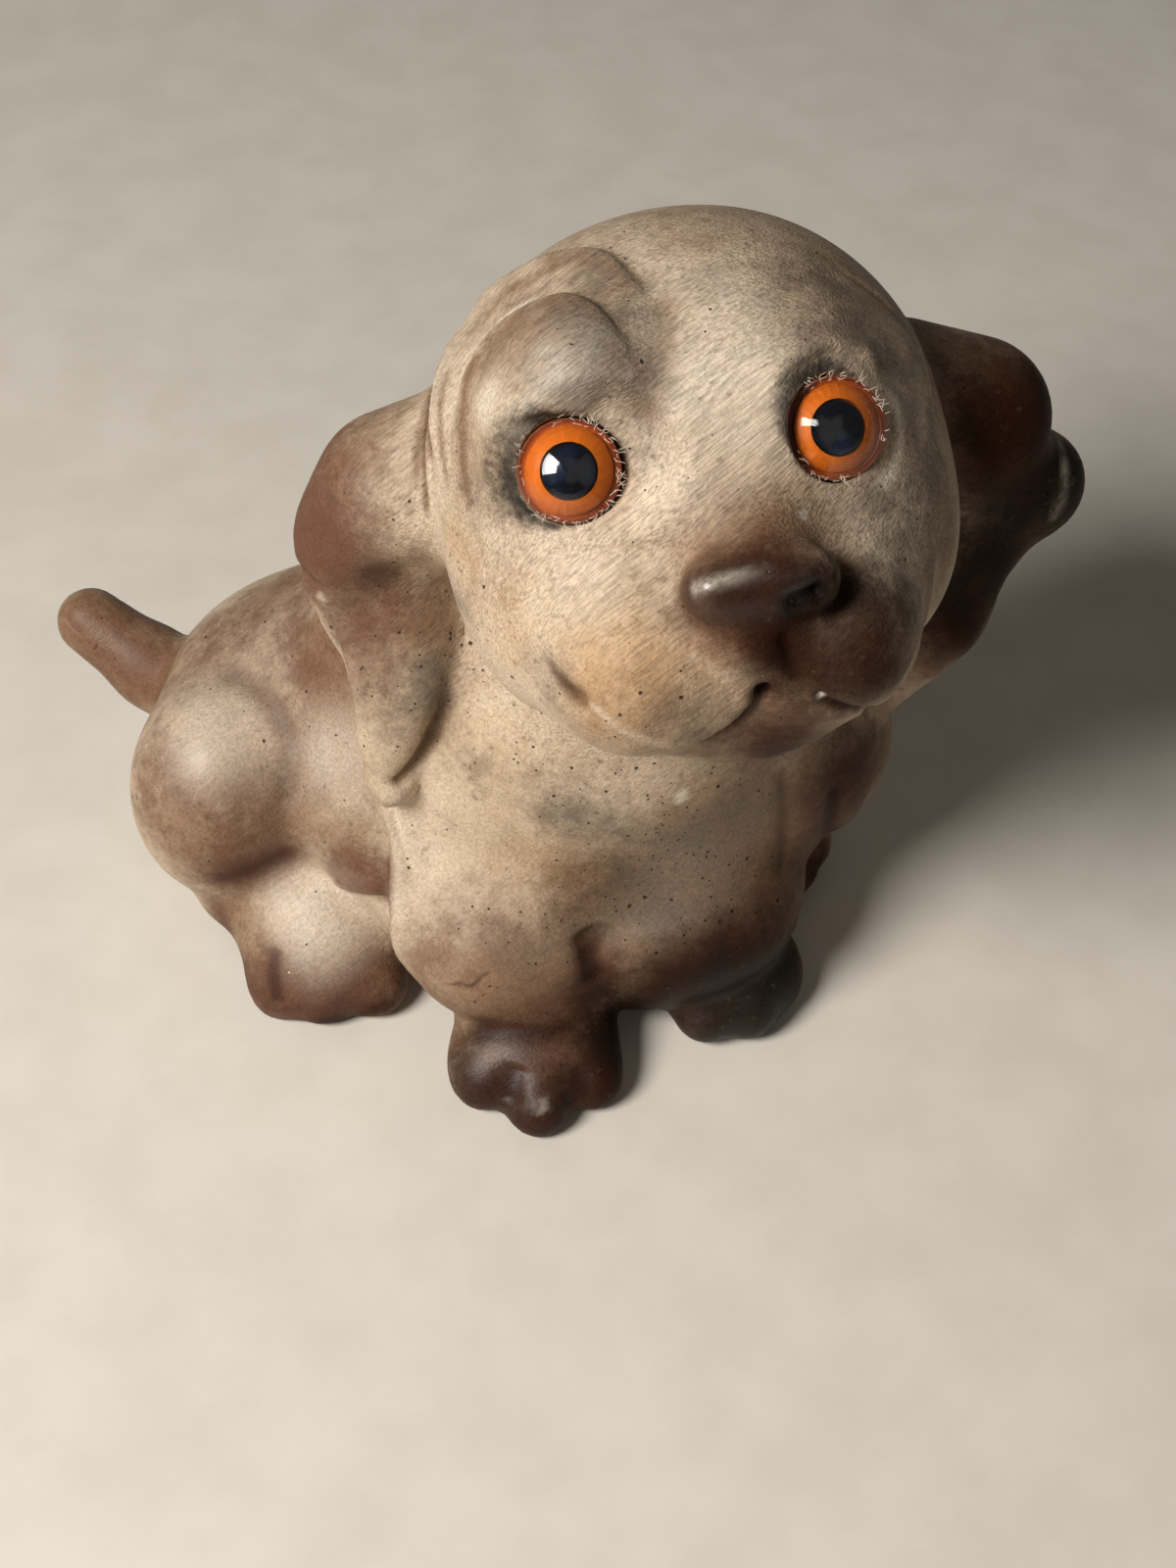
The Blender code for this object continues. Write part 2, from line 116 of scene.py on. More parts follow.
BACK_RADII = (32.0, 27.0, 29.0)
RUMP_CENTRE = (-39.0, 24.0, 26.0)
RUMP_RADII = (31.0, 27.0, 27.0)
FORELEG_RADIUS = 16.0
PAW_WIDTH = 27.0
LEFT_PAW_WIDTH = 21.6
PAW_LENGTH = 24.0
PAW_HEIGHT = 16.0
HIND_FOOT_HEIGHT = 20.0
TOE_RADIUS = 5.6
TOE_STRETCH = 1.25
HAUNCH_RADII = (15.0, 16.0, 19.5)
TAIL_ROOT = (-60.0, 31.0, 26.0)
TAIL_TIP = (-79.0, 44.5, 36.5)
TAIL_RADII = (7.8, 6.7, 5.8)
TAIL_SAG = 0.8
SIDES = {"right": -1, "left": 1}

# Skin
SKIN_STEP = 1.38
QUICK_STEP = 1.7
LINE_REACH = 2.4
CRISP_REACH = 0.35
HEAD_REACH = (36.0, 54.0)
BODY_BRUSHED = 0.3
PRESS_ROUNDS = 5
REFINED_ROUNDS = 2
SLOPE_STEP = 0.02
LEAST_STEEPNESS = 0.1
MOST_SHIFT = 2.0
SOLE_RIM = 1.2
FLOOR_LIFT = 0.02
FACE_REACH = 40.0
FACE_FRONT = -6.0
FACE_MIDDLE = -4.0

# Where a painted spot and a dent begin and end to fade, in their radii
SPOT_EDGE = (0.1, 1.6)
DENT_EDGE = (0.0, 1.0)

# The search for the skin along the camera's rays
RAY_START = 150.0
RAY_ROUNDS = 70
RAY_EASE = 0.7
RAY_STEPS = (-3.0, 12.0)

# How many of its widths, or of its reaches, away a line is still felt
GROOVE_SPREAD = 3.5
FOLD_SPREAD = 1.3
STAIN_SPREAD = 3.0
FAR = 1e9


def turn_matrix(turn):
    return np.array(Euler([math.radians(angle) for angle in turn]).to_matrix())


def placed(axes, place):
    """The matrix of these axes at this place."""
    matrix = Matrix(axes).to_4x4()
    matrix.translation = Vector(place)
    return matrix


def mesh_from(shape, name):
    """A mesh of this name from a worked shape, which is freed."""
    mesh = bpy.data.meshes.new(name)
    shape.to_mesh(mesh)
    shape.free()
    return mesh


def add_thing(name, data):
    thing = bpy.data.objects.new(name, data)
    bpy.context.scene.collection.objects.link(thing)
    return thing


class Frame:
    """A place and a turn in which lumps are laid out."""

    def __init__(self, place=(0.0, 0.0, 0.0), turn=(0.0, 0.0, 0.0)):
        self.place = np.array(place, float)
        self.axes = turn_matrix(turn)

    def point(self, local):
        return self.place + self.axes @ np.array(local, float)

    def turned(self, turn):
        return self.axes @ turn_matrix(turn)


WORLD = Frame((-FOOTPRINT_CENTRE[0], -FOOTPRINT_CENTRE[1], 0.0))
HEAD = Frame(WORLD.point(HEAD_CENTRE), (HEAD_PITCH, HEAD_ROLL, 0.0))


class Ball:
    """An ellipsoid of clay with its own three radii."""

    def __init__(self, centre, radii, turn=(0.0, 0.0, 0.0), frame=WORLD):
        self.centre = frame.point(centre)
        self.radii = np.array(radii, float)
        self.axes = frame.turned(turn)

    def distance(self, points):
        local = (points - self.centre) @ self.axes
        near = np.linalg.norm(local / self.radii, axis=1)
        slope = np.linalg.norm(local / self.radii**2, axis=1)
        return near * (near - 1.0) / np.maximum(slope, TINY)

    def beads(self):
        return [placed(self.axes, self.centre) @ Matrix.Diagonal([*self.radii, 1.0])]


class Limb:
    """A tapering rod of clay with round ends."""

    def __init__(self, start, end, start_radius, end_radius, frame=WORLD):
        self.start = frame.point(start)
        self.end = frame.point(end)
        self.radii = (start_radius, end_radius)

    def distance(self, points):
        run = self.end - self.start
        along = np.clip((points - self.start) @ run / (run @ run), 0.0, 1.0)
        nearest = self.start + along[:, None] * run
        radius = self.radii[0] + along * (self.radii[1] - self.radii[0])
        return np.linalg.norm(points - nearest, axis=1) - radius

    def beads(self):
        count = 2 + int(np.linalg.norm(self.end - self.start) / min(self.radii) * 2.0)
        row = []
        for step in np.linspace(0.0, 1.0, count):
            centre = self.start + step * (self.end - self.start)
            radius = self.radii[0] + step * (self.radii[1] - self.radii[0])
            row.append(Matrix.Translation(Vector(centre)) @ Matrix.Scale(radius, 4))
        return row


class Group:
    """Lumps that blend softly with each other, and less softly with what was laid before them."""

    def __init__(self, lumps, blend, crease):
        self.lumps = lumps
        self.blend = blend
        self.crease = crease

    def distance(self, points):
        field = self.lumps[0].distance(points)
        for lump in self.lumps[1:]:
            field = blended(field, lump.distance(points), self.blend)
        return field


def blended(first, second, width):
    """The union of two fields with a fillet of about this width where they meet."""
    overlap = np.maximum(width - np.abs(first - second), 0.0) / width
    return np.minimum(first, second) - overlap * overlap * width * 0.25


def carved(field, hollow, width):
    """The field with the hollow taken out and its rim rounded."""
    return -blended(-field, hollow, width)


def torso():
    chest = Ball(CHEST_CENTRE, CHEST_RADII)
    back = Ball(BACK_CENTRE, BACK_RADII)
    rump = Ball(RUMP_CENTRE, RUMP_RADII)
    neck = Limb((6.0, 2.0, 62.0), HEAD_CENTRE, 26.0, 24.0)
    belly = Ball((-8.0, 4.0, 17.0), (34.0, 24.0, 15.0))
    between_paws = Ball((3.0, -16.0, 10.5), (17.0, 14.0, 10.5))
    return Group([chest, back, rump, neck, belly, between_paws], blend=14.0, crease=1.0)


def forelegs():
    right = Ball((-17.5, -21.0, 19.5), (16.5, FORELEG_RADIUS, 14.5))
    left = Ball((13.5, -20.0, 19.5), (18.0, FORELEG_RADIUS, 14.5))
    left_shoulder = Ball((31.0, -3.0, 37.0), (18.5, 16.0, 19.0))
    return Group([right, left, left_shoulder], blend=4.0, crease=12.0)


def haunches():
    right = Ball((-60.0, 8.5, 28.5), HAUNCH_RADII)
    right_flank = Ball((-37.0, -1.0, 31.0), (10.0, 11.0, 11.0))
    right_groin = Ball((-29.0, 0.0, 27.0), (12.0, 14.0, 14.0))
    left = Ball((21.0, 10.0, 20.0), (16.0, 18.0, 18.0))
    return Group([right, right_flank, right_groin, left], blend=4.0, crease=8.0)


def paw(centre, toes, width, length, height):
    lumps = [Ball(centre, (width / 2, length / 2, height / 2))]
    for toe in toes:
        lumps.append(Ball(toe, (TOE_RADIUS, TOE_RADIUS * TOE_STRETCH, TOE_RADIUS)))
    return lumps


def front_paws():
    right_toes = [(-24.0, -37.5, 4.5), (-16.0, -43.5, 3.5), (-7.0, -40.0, 4.0)]
    left_toes = [(14.0, -31.0, 5.0), (21.0, -31.0, 4.5), (26.0, -26.0, 4.5)]
    right = paw((-14.5, -33.0, 6.5), right_toes, PAW_WIDTH, PAW_LENGTH, PAW_HEIGHT)
    left = paw((20.0, -24.0, 6.5), left_toes, LEFT_PAW_WIDTH, PAW_LENGTH, PAW_HEIGHT)
    right_wrist = Limb((-13.0, -24.0, 20.0), (-13.0, -28.0, 6.0), 11.0, 9.0)
    left_wrist = Limb((18.0, -16.0, 20.0), (19.0, -20.0, 6.0), 10.0, 8.5)
    return Group([*right, *left, right_wrist, left_wrist], blend=3.0, crease=2.5)


def hind_feet():
    right_toes = [(-54.5, -13.0, 3.5), (-47.5, -15.5, 4.0), (-39.0, -15.5, 4.0)]
    left_toes = [(25.0, -5.0, 5.0), (32.0, -5.0, 5.0), (36.0, 0.0, 5.0)]
    right = paw((-46.5, -8.0, 8.0), right_toes, PAW_WIDTH, PAW_LENGTH, HIND_FOOT_HEIGHT)
    left = paw((30.0, 3.0, 7.0), left_toes, PAW_WIDTH, PAW_LENGTH, PAW_HEIGHT)
    right_shank = Limb((-54.5, 5.0, 13.0), (-48.0, -4.0, 10.0), 13.0, 11.5)
    left_shank = Limb((18.0, 18.0, 12.0), (28.0, 4.0, 8.0), 12.0, 9.0)
    return Group([*right, *left, right_shank, left_shank], blend=4.0, crease=2.5)


def tail():
    middle = [(a + b) / 2 for a, b in zip(TAIL_ROOT, TAIL_TIP)]
    middle[2] -= TAIL_SAG
    root_radius, middle_radius, tip_radius = TAIL_RADII
    root = Limb(TAIL_ROOT, middle, root_radius, middle_radius)
    tip = Limb(middle, TAIL_TIP, middle_radius, tip_radius)
    return Group([root, tip], blend=3.0, crease=2.5)


def skull():
    wide = SKULL_WIDTH / 2
    dome = Ball((3.6, 1.0, 1.4), (wide, SKULL_RADIUS, SKULL_RADIUS), frame=HEAD)
    right_temple = Ball((-16.5, -5.0, 1.5), (18.0, 20.0, 21.0), frame=HEAD)
    right_crown = Ball((-6.0, 2.0, 6.0), (24.8, 24.8, 24.8), frame=HEAD)
    right_cheek = Ball((-16.0, -15.0, -12.0), (17.0, 18.0, 17.0), frame=HEAD)
    left_cheek = Ball((18.2, -12.0, -10.0), (17.0, 19.0, 18.0), frame=HEAD)
    muzzle_root = Ball((1.0, -21.0, -15.0), (21.0, 19.0, 15.0), frame=HEAD)
    lumps = [dome, right_temple, right_crown, right_cheek, left_cheek, muzzle_root]
    return Group(lumps, blend=9.0, crease=1.5)


def brows():
    domes = []
    across, forward, up = BROW_DOME_OFFSET
    for side in SIDES.values():
        domes.append(Ball((side * across, -forward, up), (BROW_DOME_RADIUS,) * 3, frame=HEAD))
    return Group(domes, blend=3.0, crease=0.9)


def brow_ring():
    dome = Ball(BROW_RING_PLACE, (BROW_RING_RADIUS,) * 3, frame=HEAD)
    return Group([dome], blend=3.0, crease=0.6)


def muzzle():
    right_jowl = Ball((-12.0, -28.5, -17.0), (13.5, 13.5, 13.0), frame=HEAD)
    left_jowl = Ball((13.5, -28.5, -17.6), (12.5, 13.0, 12.0), frame=HEAD)
    bridge = Limb((1.5, -20.0, 2.0), (3.3, -34.6, -5.6), 12.0, 8.2, frame=HEAD)
    under_nose = Ball((0.6, -35.4, -11.6), (8.4, 7.6, 7.0), frame=HEAD)
    return Group([right_jowl, left_jowl, bridge, under_nose], blend=3.0, crease=5.0)


def chin():
    lump = Ball((2.5, -20.5, -27.5), (13.0, 12.5, 8.5), frame=HEAD)
    return Group([lump], blend=3.0, crease=7.0)


def nose():
    radius = NOSE_THICKNESS / 2
    half = NOSE_WIDTH / 2 - radius
    forward = MUZZLE_LENGTH - radius
    right_end = (NOSE_ACROSS - half, -forward, -5.6)
    left_end = (NOSE_ACROSS + half, -forward, -6.2)
    bar = Limb(right_end, left_end, radius, radius, frame=HEAD)
    return Group([bar], blend=2.0, crease=2.0)


def right_ear():
    root = Limb((-12.0, -1.0, 101.5), (-28.0, 0.0, 96.5), 12.5, 11.6)
    knob = Ball((-35.0, 0.0, 89.0), (EAR_KNOB_RADIUS,) * 3)
    flap = Ball((-29.5, -2.0, 80.0), (12.0, EAR_THICKNESS / 2, 17.0))
    lower_flap = Ball((-28.5, -7.0, 68.0), (8.0, EAR_THICKNESS / 2, 13.0))
    tip = Limb((-30.0, -9.0, 66.0), (-33.2, -12.5, 50.4), EAR_THICKNESS / 2, EAR_TIP_RADIUS)
    return Group([root, knob, flap, lower_flap, tip], blend=6.0, crease=3.0)


def left_ear():
    thick = LEFT_EAR_THICKNESS / 2
    root = Limb((40.0, 2.0, 103.4), (57.0, 0.0, 97.8), 12.0, 12.0)
    knob = Ball((68.5, 0.0, 84.0), (EAR_KNOB_RADIUS,) * 3)
    flap = Ball((55.0, -1.0, 79.0), (16.0, thick, 17.0))
    lower_flap = Ball((50.0, -5.0, 67.0), (13.0, thick, 14.0))
    tip = Limb((54.0, -6.0, 62.0), (46.0, -7.0, 50.0), thick, EAR_TIP_RADIUS)
    return Group([root, knob, flap, lower_flap, tip], blend=6.0, crease=3.0)


def groups():
    trunk = [torso(), forelegs(), haunches(), front_paws(), hind_feet(), tail()]
    head = [skull(), brows(), brow_ring(), muzzle(), chin(), nose(), right_ear(), left_ear()]
    return trunk + head


def clay_field(points, laid):
    field = laid[0].distance(points)
    for group in laid[1:]:
        field = blended(field, group.distance(points), group.crease)
    return field


def eye_frame(name, laid):
    """The eye's own frame: its origin on the clay, and its Z axis along the eye's look."""
    across, up = EYE_PLACES[name]
    inside = 0.0
    outside = 2.0 * SKULL_RADIUS
    for _ in range(LOOK_STEPS):
        reach = (inside + outside) / 2
        place = HEAD.point((across, -reach, up))
        if clay_field(place[None, :], laid)[0] < 0.0:
            inside = reach
        else:
            outside = reach
    frame = Frame(place)
    frame.axes = HEAD.turned((90.0 - EYE_LIFT, 0.0, SIDES[name] * EYE_TOE_OUT))
    return frame


def socket_bowl(eye):
    bowl = Ball(eye.point((0.0, 0.0, SOCKET_RADII[2] - SOCKET_DEPTH)), SOCKET_RADII)
    bowl.axes = eye.axes
    return bowl


class Skin:
    """The whole skin as a field: the clay, its eye sockets and its flat soles."""

    def __init__(self):
        self.laid = groups()
        self.eyes = {name: eye_frame(name, self.laid) for name in SIDES}
        self.bowls = [socket_bowl(eye) for eye in self.eyes.values()]

    def distance(self, points):
        field = clay_field(points, self.laid)
        for bowl in self.bowls:
            field = carved(field, bowl.distance(points), SOCKET_RIM)
        return carved(field, points[:, 2] - FLOOR_LIFT, SOLE_RIM)

    def slope(self, points, field):
        slope = np.empty_like(points)
        for axis in range(3):
            ahead = points.copy()
            ahead[:, axis] += SLOPE_STEP
            slope[:, axis] = (self.distance(ahead) - field) / SLOPE_STEP
        return slope

    def press(self, points, rounds):
        """Moves points along the field's slope until they lie on the skin."""
        for _ in range(rounds):
            field = self.distance(points)
            slope = self.slope(points, field)
            steepness = np.maximum((slope * slope).sum(axis=1), LEAST_STEEPNESS)
            shift = np.clip(field / steepness, -MOST_SHIFT, MOST_SHIFT)
            points = points - shift[:, None] * slope
        return points

    def normals(self, points):
        slope = self.slope(points, self.distance(points))
        return slope / np.maximum(np.linalg.norm(slope, axis=1), TINY)[:, None]


def photo_rays(pixels):
    """The directions in which the photograph's camera sees these pixels."""
    pixels = np.array(pixels, float)
    scale = CAMERA_SENSOR / PHOTO_HIGH
    across = (pixels[:, 0] - PHOTO_WIDE / 2) * scale
    down = (pixels[:, 1] - PHOTO_HIGH / 2) * scale
    rays = np.stack([across, -down, np.full(len(pixels), -CAMERA_LENS)], axis=1)
    rays = rays @ turn_matrix(CAMERA_TURN).T
    return rays / np.linalg.norm(rays, axis=1)[:, None]


def seen_on(skin, pixels):
    """The places on the skin that the photograph's camera sees at these pixels."""
    rays = photo_rays(pixels)
    start = np.array(CAMERA_PLACE) / MM
    reach = np.full(len(rays), RAY_START)
    for _ in range(RAY_ROUNDS):
        field = skin.distance(start + reach[:, None] * rays)
        reach = reach + np.clip(field * RAY_EASE, *RAY_STEPS)
    return start + reach[:, None] * rays


def skin_mesh(skin, step):
    """The skin as a mesh of small even faces."""
    ball = bmesh.new()
    bmesh.ops.create_uvsphere(ball, u_segments=32, v_segments=20, radius=1.0)
    unit = mesh_from(ball, "unit_sphere")
    clay = bmesh.new()
    for group in skin.laid:
        for lump in group.lumps:
            for bead in lump.beads():
                shaped = unit.copy()
                shaped.transform(bead)
                clay.from_mesh(shaped)
                bpy.data.meshes.remove(shaped)
    rough = mesh_from(clay, "rough")
    bpy.data.meshes.remove(unit)
    thing = add_thing("rough", rough)
    remesh = thing.modifiers.new("even", "REMESH")
    remesh.mode = "VOXEL"
    remesh.voxel_size = step
    graph = bpy.context.evaluated_depsgraph_get()
    mesh = bpy.data.meshes.new_from_object(thing.evaluated_get(graph))
    bpy.data.objects.remove(thing)
    bpy.data.meshes.remove(rough)
    write_points(mesh, skin.press(read_points(mesh), PRESS_ROUNDS))
    return mesh


def read_points(mesh):
    points = np.empty(len(mesh.vertices) * 3)
    mesh.vertices.foreach_get("co", points)
    return points.reshape(-1, 3)


def write_points(mesh, points):
    mesh.vertices.foreach_set("co", np.ascontiguousarray(points).ravel())
    mesh.update()


def refine(mesh, skin, wanted):
    """Splits the faces whose corners are all wanted, and presses the new corners onto the skin."""
    fine = bmesh.new()
    fine.from_mesh(mesh)
    fine.verts.ensure_lookup_table()
    count = len(fine.verts)
    edges = [e for e in fine.edges if wanted[e.verts[0].index] and wanted[e.verts[1].index]]
    bmesh.ops.subdivide_edges(fine, edges=edges, cuts=1, use_grid_fill=True)
    fine.to_mesh(mesh)
    fine.free()
    points = read_points(mesh)
    points[count:] = skin.press(points[count:], REFINED_ROUNDS)
    write_points(mesh, points)


def face_front(points):
    """Which points lie on the front of the head."""
    local = (points - HEAD.place) @ HEAD.axes
    return (local[:, 1] < FACE_FRONT) & (np.abs(local[:, 2] - FACE_MIDDLE) < FACE_REACH)


def smooth(value, low, high):
    part = np.clip((value - low) / (high - low), 0.0, 1.0)
    return part * part * (3.0 - 2.0 * part)


class Line:
    """A line drawn on the skin where the photograph's camera sees these pixels."""

    def __init__(self, pixels, width, fades=(0.18, 0.18)):
        self.pixels = pixels
        self.width = width
        self.fades = fades

    def lay(self, skin):
        self.places = seen_on(skin, curve_through(self.pixels))

    def near(self, points, reach):
        low = self.places.min(axis=0) - reach
        high = self.places.max(axis=0) + reach
        return np.flatnonzero(((points > low) & (points < high)).all(axis=1))

    def measure(self, points, normals, reach):
        """(signed distance to the side, how strong the line is here, which points are near)."""
        near = self.near(points, reach)
        some = points[near]
        best = np.full(len(some), FAR)
        side = np.zeros(len(some))
        along = np.zeros(len(some))
        last = len(self.places) - 1
        for index in range(last):
            start = self.places[index]
            run = self.places[index + 1] - start
            part = np.clip((some - start) @ run / max(run @ run, TINY), 0.0, 1.0)
            offset = some - (start + part[:, None] * run)
            distance = np.linalg.norm(offset, axis=1)
            closer = distance < best
            best[closer] = distance[closer]
            sign = np.sign((np.cross(run, normals[near]) * offset).sum(axis=1))
            side[closer] = (sign * distance)[closer]
            along[closer] = (index + part[closer]) / last
        first, final = self.fades
        strength = smooth(along, 0.0, first) * smooth(1.0 - along, 0.0, final)
        return side, strength, near

    def close(self, points, reach):
        """Which points lie within this reach of the line."""
        near = self.near(points, reach)
        some = points[near]
        best = np.full(len(some), FAR)
        for place in self.places:
            best = np.minimum(best, np.linalg.norm(some - place, axis=1))
        return near[best < reach]


class Groove(Line):
    """A soft groove pressed into the skin, or a ridge where its depth is negative."""

    def __init__(self, pixels, depth, width, **fades):
        super().__init__(pixels, width, **fades)
        self.depth = depth

    def shape(self, shift, points, normals):
        side, strength, near = self.measure(points, normals, self.width * GROOVE_SPREAD)
        shift[near] -= self.depth * np.exp(-((side / self.width) ** 2)) * strength


class Fold(Line):
    """A step in the skin: its left, as the line runs, stands up and fades away over a reach."""

    def __init__(self, pixels, height, width, reach, **fades):
        super().__init__(pixels, width, **fades)
        self.height = height
        self.reach = reach

    def shape(self, shift, points, normals):
        side, strength, near = self.measure(points, normals, self.reach * FOLD_SPREAD)
        rise = 0.5 - 0.5 * np.tanh(side / self.width)
        fade = 1.0 - smooth(-side, self.width, self.reach)
        shift[near] += self.height * rise * fade * strength


class Stain(Line):
    """Paint, dirt, painted shade and painted highlights along a line."""

    def __init__(self, pixels, width, amount, **fades):
        super().__init__(pixels, width, **fades)
        self.amount = amount

    def cover(self, bare, points, normals):
        side, strength, near = self.measure(points, normals, self.width * STAIN_SPREAD)
        bare[near] *= 1.0 - self.amount * np.exp(-((side / self.width) ** 2)) * strength


def curve_through(pixels, steps=6):
    """A smooth run of pixels through these ones."""
    pixels = np.array(pixels, float)
    padded = np.vstack([2 * pixels[0] - pixels[1], pixels, 2 * pixels[-1] - pixels[-2]])
    run = []
    for index in range(1, len(padded) - 2):
        a, b, c, d = padded[index - 1 : index + 3]
        bend = 2 * a - 5 * b + 4 * c - d
        twist = 3 * b - a - 3 * c + d
        for part in np.linspace(0.0, 1.0, steps, endpoint=False):
            run.append(0.5 * (2 * b + (c - a) * part + bend * part**2 + twist * part**3))
    run.append(pixels[-1])
    return np.array(run)


# Paths that a groove and a stain share
RIGHT_ROOT_LINE = [(446, 385), (436, 410), (431, 445), (432, 490), (438, 545)]
LEFT_CHEEK_EDGE = [(958, 560), (955, 600), (946, 636), (934, 672), (915, 708)]
EAR_FOLD = [(462, 668), (457, 705), (447, 740), (432, 768), (415, 790), (399, 806)]
UNDER_HAUNCH = [(196, 902), (229, 899), (264, 888), (295, 871), (322, 855)]
CHEST_CREASE = [(797, 770), (801, 820), (800, 860), (795, 905)]

FOLDS = [
    # The two rings of loose skin above the right eye, from the forehead over the top to the cheek
    Fold(
        [(652, 392), (647, 368), (634, 344), (616, 322), (602, 312), (581, 305), (557, 310)]
        + [(530, 323), (506, 342), (489, 366), (478, 390), (472, 420), (465, 460), (467, 500)],
        1.4, 0.45, 12.0, fades=(0.4, 0.15),
    ),
    Fold(
        [(682, 378), (676, 330), (657, 298), (643, 281), (626, 264), (605, 257), (574, 261)]
        + [(547, 271), (509, 295), (485, 319), (465, 350), (454, 378), (447, 405), (444, 436)]
        + [(446, 470), (449, 510)],
        1.3, 0.5, 11.0, fades=(0.4, 0.15),
    ),
    # The ring above the left eye
    Fold([(946, 480), (948, 410), (928, 350), (888, 308), (835, 288), (785, 296)], 0.7, 1.6, 13.0),
    # The lids
    Fold([(504, 510), (509, 460), (526, 433), (550, 422), (581, 423), (612, 435)], 1.0, 0.5, 6.0),
    Fold([(783, 412), (800, 384), (822, 366), (852, 357), (880, 365), (898, 386)], 0.7, 0.5, 5.0),
    # The right cheek over the corner of the mouth
    Fold([(664, 765), (690, 761), (722, 749), (746, 735), (765, 718), (781, 698)], 1.0, 0.6, 8.0),
    # The right ear's edge against the back
    Fold(
        [(326, 600), (340, 628), (353, 660), (362, 692), (368, 730), (375, 772), (393, 808)],
        1.3, 0.6, 7.0,
    ),
    # The chest over the right flank
    Fold([(384, 800), (392, 828), (400, 860), (399, 897), (404, 939), (407, 990)], 1.6, 0.5, 8.0),
    # The flank's small lobe over the hind foot
    Fold([(322, 872), (338, 894), (358, 906), (378, 910), (400, 911)], 1.2, 0.6, 7.0, fades=(0.45, 0.1)),
    # The top of the left foreleg
    Fold([(760, 922), (700, 936), (650, 951), (620, 967), (604, 992)], 0.9, 1.6, 10.0),
]

GROOVES = [
    # Fine lines in the skin beside the right ear
    Groove([(458, 352), (449, 378), (440, 405), (437, 440), (440, 480), (444, 530)], 0.6, 0.45),
    Groove(RIGHT_ROOT_LINE, 0.5, 0.4),
    Groove([(437, 400), (428, 430), (424, 465), (426, 510)], 0.4, 0.4),
    Groove([(470, 470), (474, 505), (484, 545), (498, 580)], 0.3, 0.9),
    # The furrow of the forehead, and the edge of the head's left side
    Groove([(668, 285), (678, 325), (672, 370), (658, 410), (652, 450)], 0.7, 3.2),
    Groove([(845, 268), (897, 303), (932, 350), (946, 400), (951, 450)], 0.5, 0.7),
    Groove([(905, 290), (935, 335), (950, 385), (958, 440)], 0.35, 0.6),
    # Cheeks and mouth
    Groove([(555, 664), (563, 684), (574, 700), (588, 713), (604, 724)], 0.9, 2.0),
    Groove([(783, 697), (766, 720), (747, 737), (723, 751), (692, 762), (664, 765)], 0.9, 0.8),
    Groove([(832, 710), (846, 718), (868, 725), (892, 724), (914, 709)], 0.8, 1.0),
    Groove(LEFT_CHEEK_EDGE, 0.35, 0.9),
    Groove([(640, 560), (655, 590), (664, 625), (668, 660)], 0.35, 2.5),
    # The nose: its ridge, its underside and its split
    Groove([(702, 606), (735, 594), (771, 586), (812, 586), (848, 592)], -0.4, 1.8),
    Groove([(686, 612), (697, 632), (718, 644)], 0.5, 1.8),
    Groove([(862, 560), (866, 590), (856, 618), (836, 630)], 0.8, 1.6),
    Groove([(798, 640), (803, 662), (809, 684), (815, 704)], 0.6, 1.3),
    Groove([(798, 624), (820, 613), (850, 603)], 1.5, 1.8, fades=(0.35, 0.2)),
    # The right ear's fold against the neck, and the lines of its root
    Groove(EAR_FOLD, 1.0, 1.6, fades=(0.5, 0.1)),
    Groove([(437, 415), (425, 455), (421, 500), (426, 545)], 0.35, 0.8),
    Groove([(300, 575), (318, 592), (330, 607)], 0.6, 1.0),
    # The back of the haunch, its underside and the tail's tip
    Groove([(212, 682), (245, 690), (276, 715), (294, 755), (294, 800), (284, 845)], 0.7, 2.4),
    Groove(UNDER_HAUNCH, 0.6, 3.0, fades=(0.25, 0.4)),
    Groove([(64, 616), (72, 638), (86, 650)], 0.3, 0.6),
    # The hind foot's toes
    Groove([(285, 962), (279, 985), (280, 1008), (286, 1032)], 0.7, 1.7),
    # The chest: its cleft, its creases and its cracks
    Groove([(597, 945), (604, 975), (607, 1006)], 1.0, 2.4),
    Groove([(402, 815), (411, 850), (422, 888), (430, 915)], 0.4, 0.7),
    Groove([(448, 1003), (458, 1007), (470, 1005), (480, 1008), (493, 998), (505, 990)], 0.35, 0.4),
    Groove([(459, 921), (474, 930), (487, 933), (502, 941), (520, 942), (545, 949)], 0.3, 0.45),
    Groove(CHEST_CREASE, 0.5, 1.6),
    Groove([(856, 790), (850, 830), (845, 862), (836, 900)], 0.9, 1.8),
    # The front paw's toes
    Groove([(530, 1085), (524, 1105), (520, 1130)], 0.6, 2.2),
    Groove([(586, 1085), (592, 1106), (590, 1132)], 0.6, 2.2),
]

# Round patches of skin that stand up, or sink: pixel across, pixel down, radius and height
DENTS = [
    (838, 606, 3, -1.0), (778, 705, 2, -1.3), (836, 710, 1.4, -0.7), (505, 405, 8, 0.5),
    (570, 365, 8, 0.5), (612, 900, 19, -0.7), (560, 655, 8, 0.5), (322, 606, 5, 0.8),
    (390, 590, 7, -1.0), (225, 775, 10, 0.6),
]


def lay_lines(skin):
    """Lays every line on the skin."""
    for line in [*FOLDS, *GROOVES, *(stain for stains in STAINS.values() for stain in stains)]:
        line.lay(skin)


def sculpt(skin, points, normals):
    """The folds, creases and dents of the moulding, as a shift along the skin's normals."""
    shift = np.zeros(len(points))
    for line in [*FOLDS, *GROOVES]:
        line.shape(shift, points, normals)
    for height, near in near_spots(skin, points, DENTS, DENT_EDGE):
        shift += height * near
    return shift


